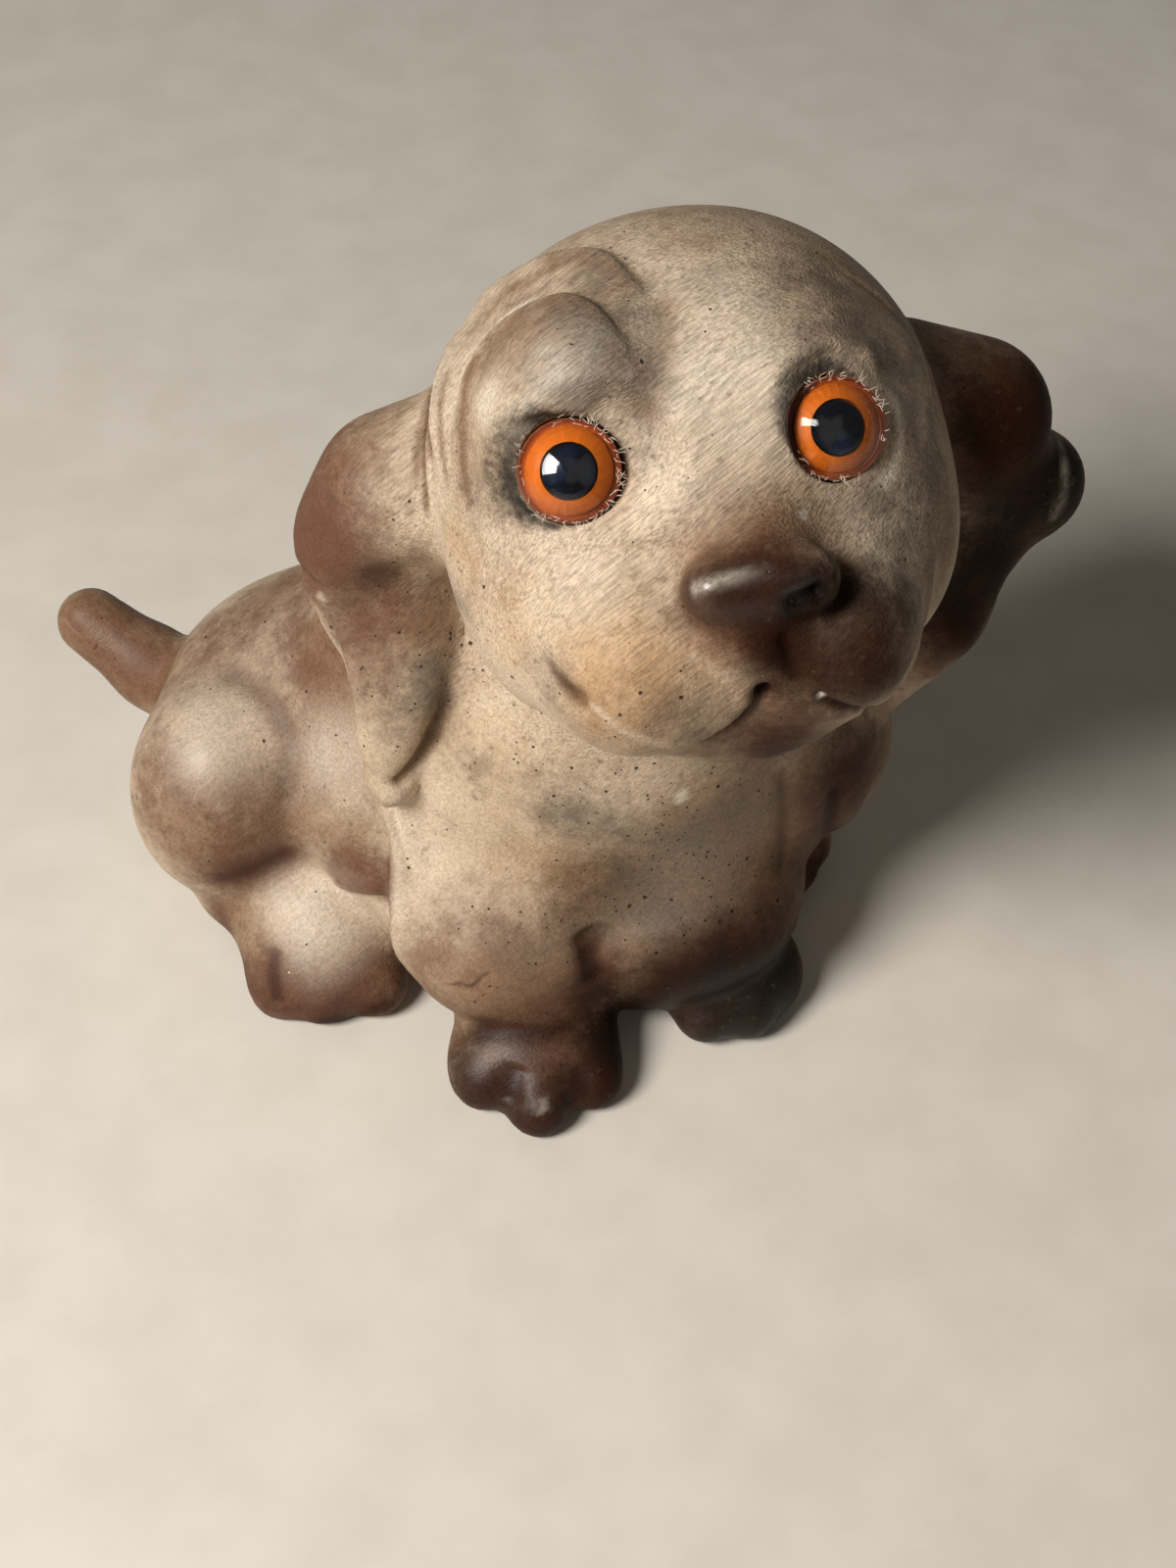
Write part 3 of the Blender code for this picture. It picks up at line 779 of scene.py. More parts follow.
def near_spots(skin, points, spots, edge):
    """Each spot's last value, with how near each point is to the spot's middle, from 0 to 1."""
    for place, spot in zip(seen_on(skin, [spot[:2] for spot in spots]), spots):
        away = np.linalg.norm(points - place, axis=1) / spot[2]
        yield spot[3], 1.0 - smooth(away, *edge)


# Soft airbrushed spots of each paint, by their amount: pixel across, pixel down and radius; some of the
# dark spots are painted shade and some pale ones painted highlights
PAINTS = {
    # Umber paint, with painted shade on the chest's right side, under the jaw, above the front paws and
    # on the far ear
    "umber_and_shade": {
        1.0: [(90, 640, 13), (150, 690, 12), (830, 884, 8)],
        0.9: [
            (520, 1000, 15), (700, 990, 12), (775, 945, 13), (830, 850, 17), (880, 790, 13),
            (300, 560, 10), (745, 640, 6.5), (1015, 385, 15), (955, 680, 8),
        ],
        0.85: [(180, 845, 12), (770, 830, 16), (715, 625, 5.5)],
        0.8: [
            (300, 590, 10), (360, 868, 7), (330, 650, 9), (770, 560, 8), (775, 650, 5), (243, 935, 6),
            (258, 990, 8),
        ],
        0.75: [(590, 990, 10), (560, 1035, 12), (350, 700, 9), (815, 545, 8), (790, 740, 10)],
        0.7: [(292, 820, 7), (284, 852, 6), (240, 872, 9), (388, 998, 8), (440, 645, 4), (910, 750, 8)],
        0.65: [(300, 1015, 9)],
        0.6: [
            (440, 1010, 9), (330, 490, 10), (955, 350, 9), (955, 600, 7), (940, 660, 7), (352, 1025, 9),
            (515, 350, 5), (550, 345, 6), (320, 545, 7), (400, 605, 4), (470, 1040, 8), (770, 600, 8),
            (790, 880, 10),
        ],
        0.55: [(345, 470, 9), (962, 520, 7), (575, 340, 8)],
        0.5: [
            (215, 650, 9), (330, 690, 9), (150, 735, 7), (150, 780, 7), (700, 930, 9), (890, 300, 12),
            (395, 640, 8), (450, 690, 6), (722, 575, 4.5), (660, 730, 7), (720, 760, 9), (545, 1075, 12),
            (405, 645, 4), (455, 600, 3.5), (735, 545, 7), (700, 575, 5), (725, 600, 7), (690, 900, 12),
            (720, 940, 10), (600, 350, 6), (512, 470, 3.5),
        ],
        0.45: [(260, 640, 13), (445, 620, 7), (640, 880, 12), (740, 880, 12)],
        0.4: [
            (240, 800, 8), (320, 840, 6), (380, 430, 12), (480, 440, 4.5), (500, 375, 4), (430, 570, 4),
            (700, 850, 10), (650, 945, 8), (530, 310, 4), (520, 540, 4),
        ],
        0.35: [
            (195, 690, 8), (790, 245, 12), (590, 735, 5), (620, 300, 5), (600, 790, 10), (625, 925, 8),
            (730, 800, 10), (355, 790, 8), (490, 330, 4), (640, 400, 6), (620, 300, 6),
        ],
        0.3: [(650, 225, 10), (720, 222, 10), (570, 275, 7), (475, 500, 6), (850, 330, 8)],
        0.25: [(500, 600, 6)],
    },
    "amber": {
        0.7: [(640, 680, 9)],
        0.6: [(620, 720, 8)],
        0.5: [(470, 560, 6), (800, 705, 5)],
        0.4: [(700, 700, 9), (560, 900, 9), (700, 900, 8)],
        0.35: [(520, 640, 9)],
        0.3: [(500, 780, 12)],
    },
    "greyed": {
        0.7: [(622, 350, 6), (600, 380, 6), (935, 480, 8), (720, 960, 9)],
        0.6: [
            (648, 395, 5), (920, 400, 8), (925, 560, 9), (650, 890, 6), (690, 860, 6), (735, 850, 7),
            (430, 720, 6), (440, 690, 5), (600, 330, 6),
        ],
        0.5: [
            (880, 330, 8), (590, 830, 6), (625, 850, 7), (690, 915, 9), (770, 820, 10), (655, 945, 8),
            (560, 700, 5), (880, 780, 9), (510, 1080, 7), (960, 360, 9), (660, 440, 5),
        ],
        0.45: [(640, 300, 6), (830, 320, 9), (900, 520, 7)],
        0.4: [
            (605, 282, 5), (490, 520, 5), (740, 930, 7), (560, 960, 9), (570, 820, 7), (470, 620, 4),
            (700, 740, 6), (540, 375, 4),
        ],
        0.35: [(715, 290, 4), (625, 930, 5), (575, 1090, 7)],
        0.3: [(820, 265, 6), (480, 780, 6)],
    },
    # Red-brown paint, with painted shade under the jaw, on the chest's right side and above the front
    # paws
    "reddish_and_shade": {
        0.85: [(303, 560, 8)],
        0.8: [(325, 535, 8), (800, 760, 10), (745, 985, 9)],
        0.75: [(345, 575, 7), (352, 886, 5), (386, 893, 5), (860, 800, 11)],
        0.7: [(370, 610, 8), (600, 1010, 8), (290, 1015, 7), (380, 1015, 7), (330, 1030, 7)],
        0.6: [
            (235, 892, 7), (765, 640, 6), (960, 640, 8), (1000, 480, 12), (560, 1080, 9), (315, 490, 8),
            (352, 640, 5), (790, 575, 6),
        ],
        0.5: [
            (375, 660, 6), (270, 875, 6), (520, 1120, 7), (740, 590, 6), (1030, 400, 12), (590, 1120, 8),
        ],
        0.45: [(285, 650, 13), (378, 700, 5)],
        0.4: [(150, 685, 9), (540, 1060, 10), (345, 440, 8), (300, 985, 9)],
        0.35: [
            (95, 650, 10), (400, 600, 6), (330, 700, 8), (230, 640, 9), (345, 500, 8), (250, 850, 9),
            (870, 690, 8),
        ],
        0.3: [(300, 760, 6), (130, 660, 9), (170, 800, 12), (380, 960, 8), (395, 565, 7)],
        0.25: [(450, 980, 12), (355, 780, 8)],
        0.12: [(320, 760, 12)],
        0.08: [(200, 720, 14)],
    },
    # Dark brown paint of the nose, paws and far ear, with painted shade in the nostril, on the chest's
    # right side and in the hollow between the front paws
    "chocolate_and_shade": {
        1.0: [
            (832, 606, 6), (1045, 490, 15), (1020, 570, 14), (1095, 490, 9), (630, 1040, 9),
            (740, 1020, 20), (790, 1000, 12),
        ],
        0.95: [(790, 603, 7), (985, 640, 10), (545, 1150, 10), (690, 1010, 9), (740, 992, 10)],
        0.9: [
            (750, 606, 6), (862, 600, 3.5), (820, 625, 5), (790, 648, 5.5), (880, 655, 10),
            (778, 705, 2.2), (625, 1090, 7), (830, 884, 5),
        ],
        0.85: [(803, 665, 5.5), (850, 690, 7), (620, 1080, 7)],
        0.8: [
            (895, 695, 6), (480, 1120, 6), (605, 1125, 7), (500, 1050, 3), (532, 1053, 3),
            (1045, 440, 11),
        ],
        0.75: [(865, 790, 9)],
        0.7: [
            (700, 608, 4.5), (812, 690, 4.5), (1010, 470, 9), (800, 760, 8), (562, 1051, 3),
            (1055, 400, 9),
        ],
        0.6: [(905, 630, 7), (975, 600, 7), (495, 1112, 6), (850, 850, 10), (600, 1015, 5)],
        0.5: [(465, 1080, 5), (800, 905, 9)],
        0.4: [(1030, 395, 11)],
        0.2: [(550, 1095, 7)],
        0.15: [(985, 385, 7)],
    },
    # Soot, with painted shade in the nostril, on the far ear and in the hollow between the front paws
    "soot_and_shade": {
        1.0: [(835, 609, 4)],
        0.95: [(1098, 500, 7)],
        0.9: [(815, 618, 2.6), (785, 1010, 9)],
        0.8: [(780, 1030, 9)],
        0.7: [(625, 1055, 6)],
        0.6: [(1040, 540, 12), (740, 1000, 7)],
        0.5: [(740, 1030, 14), (1000, 600, 7)],
    },
    # Pale wear and dust, with painted highlights on the brow and the haunch
    "wear_and_highlight": {
        1.0: [(838, 713, 0.6), (695, 813, 1.2)],
        0.8: [(820, 525, 0.7)],
        0.5: [(330, 607, 0.7)],
        0.45: [(500, 410, 3)],
        0.3: [(340, 935, 8), (345, 760, 7), (570, 365, 5), (552, 1128, 1.2)],
        0.25: [(215, 765, 7), (735, 330, 9), (300, 925, 6)],
        0.2: [(322, 975, 6)],
        0.18: [(720, 450, 9)],
        0.15: [(300, 785, 7), (740, 400, 7)],
        0.12: [(235, 710, 9)],
    },
    "pricked": {
        1.0: [(700, 830, 15), (700, 910, 12)],
        0.9: [(420, 700, 9)],
        0.8: [(900, 790, 12), (440, 590, 8)],
        0.7: [(640, 900, 12), (760, 780, 12)],
        0.6: [(870, 860, 8)],
        0.4: [(770, 920, 12), (560, 790, 10), (660, 720, 8)],
        0.3: [(560, 960, 12)],
    },
    "glossy": {
        1.0: [(718, 598, 5), (765, 588, 6)],
        0.7: [(808, 584, 4), (745, 1030, 11), (505, 405, 7)],
        0.55: [(225, 765, 9)],
        0.5: [(570, 362, 6)],
        0.35: [(545, 1115, 11), (500, 1090, 8), (325, 1005, 7)],
        0.25: [(100, 640, 9)],
        0.1: [(1090, 490, 8)],
    },
}

# Lines of each paint, many of them painted shade along creases and painted highlights along lips and
# ridges
STAINS = {
    # Painted shade along the mouth and cheek creases, the right ear's fold, a crack in the chest and
    # under the right foreleg and the hind foot
    "chocolate_and_shade": [
        Stain([(783, 697), (766, 720), (747, 737), (723, 751), (692, 762)], 0.9, 0.7),
        Stain([(555, 664), (563, 684), (574, 700), (588, 713)], 1.0, 0.45),
        Stain([(832, 710), (846, 718), (868, 725), (892, 724)], 1.2, 0.7),
        Stain(EAR_FOLD, 1.5, 0.35, fades=(0.5, 0.1)),
        Stain([(265, 1040), (300, 1045), (340, 1042), (385, 1030), (405, 1010)], 2.0, 0.8),
        Stain([(465, 1060), (500, 1056), (540, 1055), (580, 1046), (604, 1025)], 1.6, 0.8),
        Stain([(458, 1006), (470, 1005), (480, 1008), (493, 998)], 0.4, 0.5),
    ],
    # Painted shade under the haunch, under the flank's lobe, along the chest's side, in its cleft, along
    # the right ear's edge, between the toes and under the left foreleg; red-brown paint down the hind
    # foot's side
    "reddish_and_shade": [
        Stain(UNDER_HAUNCH, 3.6, 0.9, fades=(0.25, 0.3)),
        Stain([(322, 868), (338, 888), (358, 900), (378, 904), (398, 905)], 1.8, 0.85, fades=(0.4, 0.1)),
        Stain([(213, 905), (232, 950), (252, 1000), (270, 1035)], 3.0, 0.8),
        Stain([(398, 870), (399, 897), (404, 939), (407, 990)], 1.2, 0.7),
        Stain([(597, 965), (604, 985), (607, 1006)], 2.5, 0.8),
        Stain([(330, 610), (345, 640), (356, 672), (366, 712)], 1.4, 0.4),
        Stain([(285, 965), (279, 985), (281, 1010), (286, 1035)], 1.4, 0.7),
        Stain([(640, 1015), (700, 1008), (745, 990), (800, 952)], 2.5, 0.8),
    ],
    # Brown bands inside the brow's rings; painted shade beside the haunch, in the fine lines by the right
    # ear and in the chest's crease
    "umber_and_shade": [
        Stain(
            [(640, 350), (616, 330), (600, 320), (581, 313), (557, 318), (530, 331), (508, 350)],
            2.0, 0.75,
        ),
        Stain([(500, 360), (488, 382), (482, 410), (478, 450), (474, 490), (478, 530)], 1.3, 0.9),
        Stain([(468, 372), (459, 395), (455, 430), (455, 470), (460, 510)], 0.8, 0.7),
        Stain([(655, 310), (640, 290), (624, 274), (603, 267), (575, 270), (548, 281)], 2.0, 0.7),
        Stain([(295, 720), (306, 760), (304, 805), (290, 850)], 3.5, 0.6),
        Stain([(250, 695), (281, 723), (292, 758)], 2.0, 0.5),
        Stain(RIGHT_ROOT_LINE, 0.7, 0.8),
        Stain([(458, 352), (449, 378), (440, 405), (437, 440), (440, 480)], 0.7, 0.8),
        Stain([(640, 296), (605, 275), (565, 280), (520, 303), (490, 332)], 0.9, 0.6),
        Stain(CHEST_CREASE, 2.0, 0.4),
    ],
    # Painted highlights along the nose's ridge, the lips of the brow's rings, the left eye socket's rim,
    # the jowls' edges, the far ear's knob and the chest's fold
    "wear_and_highlight": [
        Stain([(702, 603), (722, 596), (745, 590), (771, 584), (800, 581)], 0.9, 0.32, fades=(0.1, 0.7)),
        Stain([(903, 392), (915, 420), (918, 450), (912, 480), (893, 501)], 0.9, 0.5),
        Stain([(476, 385), (489, 356), (505, 334), (529, 315), (558, 301)], 0.6, 0.6),
        Stain([(446, 436), (449, 405), (457, 378), (468, 350)], 0.5, 0.4),
        Stain([(600, 715), (618, 732), (640, 748), (680, 762)], 0.5, 0.4),
        Stain(LEFT_CHEEK_EDGE, 0.6, 0.35),
        Stain([(1077, 436), (1086, 470), (1085, 505), (1075, 535)], 0.7, 0.3),
        Stain([(404, 800), (411, 860), (410, 900), (413, 950)], 0.7, 0.3),
    ],
}

# The dirt and painted shade beside each eye: the angle where it is thickest, how far it spreads, its
# reach and amount
EYE_DIRT_AND_SHADE = {"right": (165.0, 105.0, 4.2, 0.9), "left": (118.0, 80.0, 3.6, 0.8)}
LEAST_EYE_DARKENING = 0.35
EYE_DARKENING_ARC = (0.3, 1.0)
EYE_DARKENING_EDGE = (0.3, 1.2)
EYE_DARKENING_HEIGHT = 9.0

# How much each layer darkens the skin towards the floor, on the feet and the belly, and up to what height
LOW_DARKENING = {"umber_and_shade": 0.6, "reddish_and_shade": 0.45, "chocolate_and_shade": 0.35}
LOW_REACH = (1.0, 15.0)


def paint(mesh, skin, points, normals):
    """Stores how much of each paint every point of the skin has."""
    for name, marks in PAINTS.items():
        bare = np.ones(len(points))
        spots = [(*mark, amount) for amount, group in marks.items() for mark in group]
        for amount, near in near_spots(skin, points, spots, SPOT_EDGE):
            bare *= 1.0 - amount * near
        for stain in STAINS.get(name, ()):
            stain.cover(bare, points, normals)
        # Darker towards the floor, on the feet and the belly
        bare *= 1.0 - LOW_DARKENING.get(name, 0.0) * (1.0 - smooth(points[:, 2], *LOW_REACH))
        # Dirt and painted shade beside each eye
        if name == "soot_and_shade":
            for side, eye in skin.eyes.items():
                bare *= 1.0 - eye_dirt_and_shade(points, eye, *EYE_DIRT_AND_SHADE[side])
        store(mesh, name, 1.0 - bare)


def store(mesh, name, values):
    layer = mesh.attributes.new(name, "FLOAT", "POINT")
    layer.data.foreach_set("value", values)


def eye_dirt_and_shade(points, eye, middle, spread, reach, amount):
    """Dark dirt and painted shade beside an eye, thickest at an angle about its look and thinning away
    from it.
    """
    local = (points - eye.place) @ eye.axes
    out = np.linalg.norm(local[:, :2], axis=1) - EYE_DIAMETER / 2
    angle = np.degrees(np.arctan2(local[:, 1], local[:, 0]))
    turn = np.abs((angle - middle + 180.0) % 360.0 - 180.0) / spread
    width = reach * (1.0 - smooth(turn, *EYE_DARKENING_ARC)) + LEAST_EYE_DARKENING
    close = 1.0 - smooth(out / width, *EYE_DARKENING_EDGE)
    return np.where(np.abs(local[:, 2]) < EYE_DARKENING_HEIGHT, amount * close, 0.0)


def make_skin(skin, quick):
    mesh = skin_mesh(skin, QUICK_STEP if quick else SKIN_STEP)
    lay_lines(skin)
    points = read_points(mesh)
    refine(mesh, skin, face_front(points) | beside_lines(points, LINE_REACH))
    if not quick:
        refine(mesh, skin, beside_lines(read_points(mesh), CRISP_REACH))
    points = read_points(mesh)
    normals = skin.normals(points)
    shift = sculpt(skin, points, normals)
    write_points(mesh, points + shift[:, None] * normals)
    paint(mesh, skin, points, normals)
    # How far each point is pressed in, which the material turns into painted shade in creases and dents
    store(mesh, "sunk", np.clip(-shift, 0.0, 1.0))
    from_head = np.linalg.norm(points - HEAD.place, axis=1)
    store(mesh, "brushed", 1.0 - (1.0 - BODY_BRUSHED) * smooth(from_head, *HEAD_REACH))
    mesh.transform(Matrix.Scale(MM, 4))
    mesh.name = "moulded_skin"
    body = add_thing("moulded_skin", mesh)
    mesh.shade_smooth()
    for eye in skin.eyes.values():
        cut_seat(body, eye)
    return body


def beside_lines(points, reach):
    """Which points lie within this reach of a fold or groove, past the line's own width."""
    beside = np.zeros(len(points), bool)
    for line in [*FOLDS, *GROOVES]:
        beside[line.close(points, reach + line.width)] = True
    return beside


def cut_seat(body, eye):
    """Opens the round hole in which an eye sits."""
    round_hole = bmesh.new()
    radius = (EYE_DIAMETER / 2 + EYE_GAP) * MM
    sizes = {"radius1": radius, "radius2": radius, "depth": 2 * SEAT_DEPTH * MM}
    bmesh.ops.create_cone(round_hole, cap_ends=True, segments=96, **sizes)
    mesh = mesh_from(round_hole, "seat")
    mesh.transform(placed(eye.axes, eye.place * MM))
    cutter = add_thing("seat", mesh)
    boolean = body.modifiers.new("seat", "BOOLEAN")
    boolean.operation = "DIFFERENCE"
    boolean.solver = "EXACT"
    boolean.object = cutter
    graph = bpy.context.evaluated_depsgraph_get()
    made = bpy.data.meshes.new_from_object(body.evaluated_get(graph))
    body.modifiers.clear()
    body.data = made
    made.shade_smooth()
    bpy.data.objects.remove(cutter)


class Nodes:
    """Short ways to build a material's nodes."""

    def __init__(self, name):
        self.material = bpy.data.materials.new(name)
        self.material.use_nodes = True
        self.tree = self.material.node_tree
        self.shader = self.tree.nodes["Principled BSDF"]
        self.output = self.tree.nodes["Material Output"]
        self.place = self.tree.nodes.new("ShaderNodeTexCoord").outputs["Object"]

    def add(self, kind, inputs=(), **settings):
        """A new node with these settings, and with its inputs, by name or number, linked or set."""
        node = self.tree.nodes.new("ShaderNode" + kind)
        for name, value in settings.items():
            setattr(node, name, value)
        for name, value in dict(inputs).items():
            self.link(value, node.inputs[name])
        return node

    def link(self, source, target):
        if isinstance(source, bpy.types.NodeSocket):
            self.tree.links.new(source, target)
        else:
            target.default_value = source

    def finish(self, inputs):
        """The material, with these inputs of its shader linked or set."""
        for name, value in inputs.items():
            self.link(value, self.shader.inputs[name])
        return self.material

    def maths(self, operation, *values):
        return self.add("Math", enumerate(values), operation=operation).outputs[0]

    def product(self, first, second):
        return self.maths("MULTIPLY", first, second)

    def scaled(self, value, factor, plus):
        return self.maths("MULTIPLY_ADD", value, factor, plus)

    def noise(self, scale, detail=3.0, roughness=0.55, place=None):
        place = self.place if place is None else place
        inputs = {"Vector": place, "Scale": scale, "Detail": detail, "Roughness": roughness}
        return self.add("TexNoise", inputs).outputs["Fac"]

    def drawn_out(self, run, length, width):
        """Places for a noise whose grain is this long along a direction and this wide across it."""
        turn = Vector(run).to_track_quat("X", "Z").to_euler()
        inputs = {"Vector": self.place, "Rotation": turn, "Scale": (length, width, width)}
        return self.add("Mapping", inputs, vector_type="TEXTURE").outputs["Vector"]

    def between(self, value, low, high, low_out=0.0, high_out=1.0):
        """A smooth change from one value to another as the first value goes from low to high."""
        inputs = {"Value": value, "From Min": low, "From Max": high}
        inputs |= {"To Min": low_out, "To Max": high_out}
        return self.add("MapRange", inputs, interpolation_type="SMOOTHSTEP").outputs["Result"]

    def mix(self, amount, first, second, **settings):
        inputs = {0: amount, 6: colour(first), 7: colour(second)}
        return self.add("Mix", inputs, data_type="RGBA", **settings).outputs[2]

    def times(self, first, second):
        return self.mix(1.0, first, second, blend_type="MULTIPLY")

    def layer(self, name):
        return self.add("Attribute", attribute_name=name).outputs["Fac"]

    def patchy(self, amount, coarse, fine, roughness):
        """A paint's amount, broken up by two noises."""
        broken = self.scaled(coarse, 0.65, self.product(fine, 0.35))
        lift = self.between(broken, 0.36, 0.62, -roughness, roughness)
        ease = self.product(self.maths("SUBTRACT", 1.0, amount), amount)
        moved = self.scaled(self.product(lift, ease), 2.0, amount)
        return self.maths("MINIMUM", self.maths("MAXIMUM", moved, 0.0), 1.0)

    def bump(self, height, distance, strength=1.0):
        inputs = {"Height": height, "Distance": distance, "Strength": strength}
        return self.add("Bump", inputs).outputs["Normal"]


def colour(value):
    return (*value, 1.0) if isinstance(value, tuple) else value


TAN = (0.60, 0.475, 0.345)
TAN_DEEP = (0.41, 0.29, 0.18)
AMBER_TAN = (0.45, 0.27, 0.13)
UMBER_AND_SHADE_BROWN = (0.21, 0.115, 0.060)
GREY_BROWN = (0.17, 0.13, 0.095)
RED_BROWN_AND_SHADE = (0.115, 0.043, 0.022)
CHOCOLATE_AND_SHADE_BROWN = (0.028, 0.009, 0.004)
SOOT_AND_SHADE_BLACK = (0.013, 0.009, 0.006)
DIRT = (0.10, 0.06, 0.035)
CLEAN = (1.0, 1.0, 1.0)
CREASE_SHADE_TINT = (0.46, 0.37, 0.30)
PALE_DUST_WEAR_AND_HIGHLIGHT = (0.76, 0.66, 0.54)
RIM_GRIME_AND_SHADE = (0.30, 0.075, 0.015)
PUPIL_TINTS = ((0.0008, 0.001, 0.002), (0.004, 0.007, 0.016))
FIBRE_TINTS = ((0.74, 0.60, 0.44), (0.86, 0.78, 0.66))
FLOOR_TINTS = ((0.66, 0.61, 0.53), (0.71, 0.66, 0.58))
CAP_IOR = 1.38

# The iris's colours, from the pupil out to the rim: the bright ring beside the pupil is painted light
# that the clear cap focuses, and the dark rim is painted shade
IRIS_STOPS = [
    (0.48, (0.20, 0.044, 0.002)), (0.60, (0.26, 0.056, 0.002)), (0.78, (0.23, 0.047, 0.002)),
    (0.90, (0.15, 0.026, 0.003)), (1.0, (0.04, 0.009, 0.003)),
]

# How fine and how deep the ragged edges of the skin's small specks are
SPECK_RAGGED = 1500.0
SPECK_PUSH = 0.0004

# The ways in which the skin's fine brush strokes run, on the face and across it
STROKE_RUN = (0.858, 0.316, 0.415)
CROSS_RUN = (0.70, -0.59, -0.41)


def rubber():
    """Satin foam rubber: tan, airbrushed with browns, brushed by fine strokes and pricked by pinholes,
    with painted shade in its creases, hollows and pinholes and painted highlights on lips and ridges.
    """
    nodes = Nodes("airbrushed_rubber")
    cloud = nodes.noise(45.0, 4.0, 0.62)
    mottle = nodes.noise(170.0, 5.0, 0.64)
    fleck = nodes.noise(620.0, 4.0, 0.6)
    grain = nodes.noise(1900.0, 3.0, 0.6)
    strokes = nodes.noise(1.0, 3.0, 0.62, nodes.drawn_out(STROKE_RUN, 0.0042, 0.00034))
    scratches = nodes.noise(1.0, 2.0, 0.5, nodes.drawn_out(STROKE_RUN, 0.0080, 0.00026))
    cross = nodes.noise(1.0, 3.0, 0.6, nodes.drawn_out(CROSS_RUN, 0.0026, 0.00040))

    base = nodes.mix(nodes.between(cloud, 0.42, 0.70, 0.0, 0.6), TAN, TAN_DEEP)
    base = nodes.mix(nodes.between(mottle, 0.50, 0.70, 0.0, 0.26), base, GREY_BROWN)
    # Paint layers; the umber, red-brown, chocolate and soot layers also hold painted shade
    for name, tint, patchy in [
        ("amber", AMBER_TAN, 0.30),
        ("umber_and_shade", UMBER_AND_SHADE_BROWN, 0.32),
        ("greyed", GREY_BROWN, 0.50),
        ("reddish_and_shade", RED_BROWN_AND_SHADE, 0.28),
        ("chocolate_and_shade", CHOCOLATE_AND_SHADE_BROWN, 0.25),
        ("soot_and_shade", SOOT_AND_SHADE_BLACK, 0.6),
    ]:
        base = nodes.mix(nodes.patchy(nodes.layer(name), mottle, fleck, patchy), base, tint)
    # Painted shade: darker where the skin is pressed into creases and dents
    base = nodes.times(base, nodes.mix(nodes.between(nodes.layer("sunk"), 0.1, 0.9), CLEAN, CREASE_SHADE_TINT))
    # Pale wear and painted highlights
    base = nodes.mix(nodes.patchy(nodes.layer("wear_and_highlight"), mottle, fleck, 0.35), base, PALE_DUST_WEAR_AND_HIGHLIGHT)
    base = nodes.mix(nodes.between(fleck, 0.60, 0.72, 0.0, 0.45), base, DIRT)

    pits = pinholes(nodes)
    # Painted shade: each pinhole's hollow is coloured near black
    base = nodes.mix(nodes.product(pits, 0.92), base, SOOT_AND_SHADE_BLACK)
    dust = specks(nodes, 330.0, 0.10, 0.965)
    base = nodes.mix(nodes.product(dust, 0.8), base, PALE_DUST_WEAR_AND_HIGHLIGHT)
    brushed = nodes.between(strokes, 0.35, 0.65, -0.24, 0.22)
    lined = nodes.between(scratches, 0.58, 0.70, 0.0, -0.28)
    sand = nodes.scaled(nodes.layer("brushed"), -0.10, 0.17)
    sandy = nodes.product(nodes.between(grain, 0.33, 0.67, -1.0, 0.9), sand)
    stroked = nodes.product(nodes.maths("ADD", brushed, lined), nodes.layer("brushed"))
    shade = nodes.maths("ADD", nodes.maths("ADD", stroked, sandy), 1.0)
    base = nodes.times(base, shade)

    glossy = nodes.layer("glossy")
    rough = nodes.between(grain, 0.3, 0.7, 0.50, 0.64)
    rough = nodes.scaled(glossy, -0.26, rough)
    dull = nodes.scaled(nodes.layer("chocolate_and_shade"), -0.24, 0.28)
    shine = nodes.scaled(glossy, 0.40, dull)

    height = nodes.scaled(strokes, 0.7, nodes.product(cross, 0.3))
    height = nodes.scaled(scratches, 0.45, height)
    height = nodes.product(height, nodes.layer("brushed"))
    height = nodes.scaled(grain, 0.45, height)
    height = nodes.scaled(fleck, 0.35, height)
    height = nodes.scaled(pits, -1.5, height)
    height = nodes.scaled(dust, 0.8, height)
    relief = nodes.scaled(glossy, -0.7, 1.0)
    looks = {"Base Color": base, "Roughness": rough, "Specular IOR Level": shine}
    return nodes.finish({**looks, "Normal": nodes.bump(height, 0.00026, relief)})


def specks(nodes, scale, radius, rare):
    """Small ragged spots in some cells of a scattered grid, from 0 to 1."""
    ragged = nodes.add("TexNoise", {"Vector": nodes.place, "Scale": SPECK_RAGGED})
    push = {0: ragged.outputs["Color"], 1: (SPECK_PUSH,) * 3, 2: nodes.place}
    pushed = nodes.add("VectorMath", push, operation="MULTIPLY_ADD")
    cells = nodes.add("TexVoronoi", {"Vector": pushed.outputs[0], "Scale": scale})
    chosen = nodes.add("SeparateColor", {0: cells.outputs["Color"]})
    kept = nodes.maths("GREATER_THAN", chosen.outputs[0], rare)
    size = nodes.between(chosen.outputs[1], 0.0, 1.0, radius * 0.5, radius)
    inside = nodes.maths("SUBTRACT", 1.0, nodes.maths("DIVIDE", cells.outputs["Distance"], size))
    return nodes.product(kept, nodes.between(inside, 0.0, 0.35))


def pinholes(nodes):
    """Pinholes of two sizes, closest together where the skin is most pricked."""
    pricked = nodes.layer("pricked")
    large = specks(nodes, 400.0, 0.15, nodes.scaled(pricked, -0.75, 0.93))
    small = specks(nodes, 800.0, 0.19, nodes.scaled(pricked, -0.60, 0.92))
    return nodes.maths("MAXIMUM", large, small)


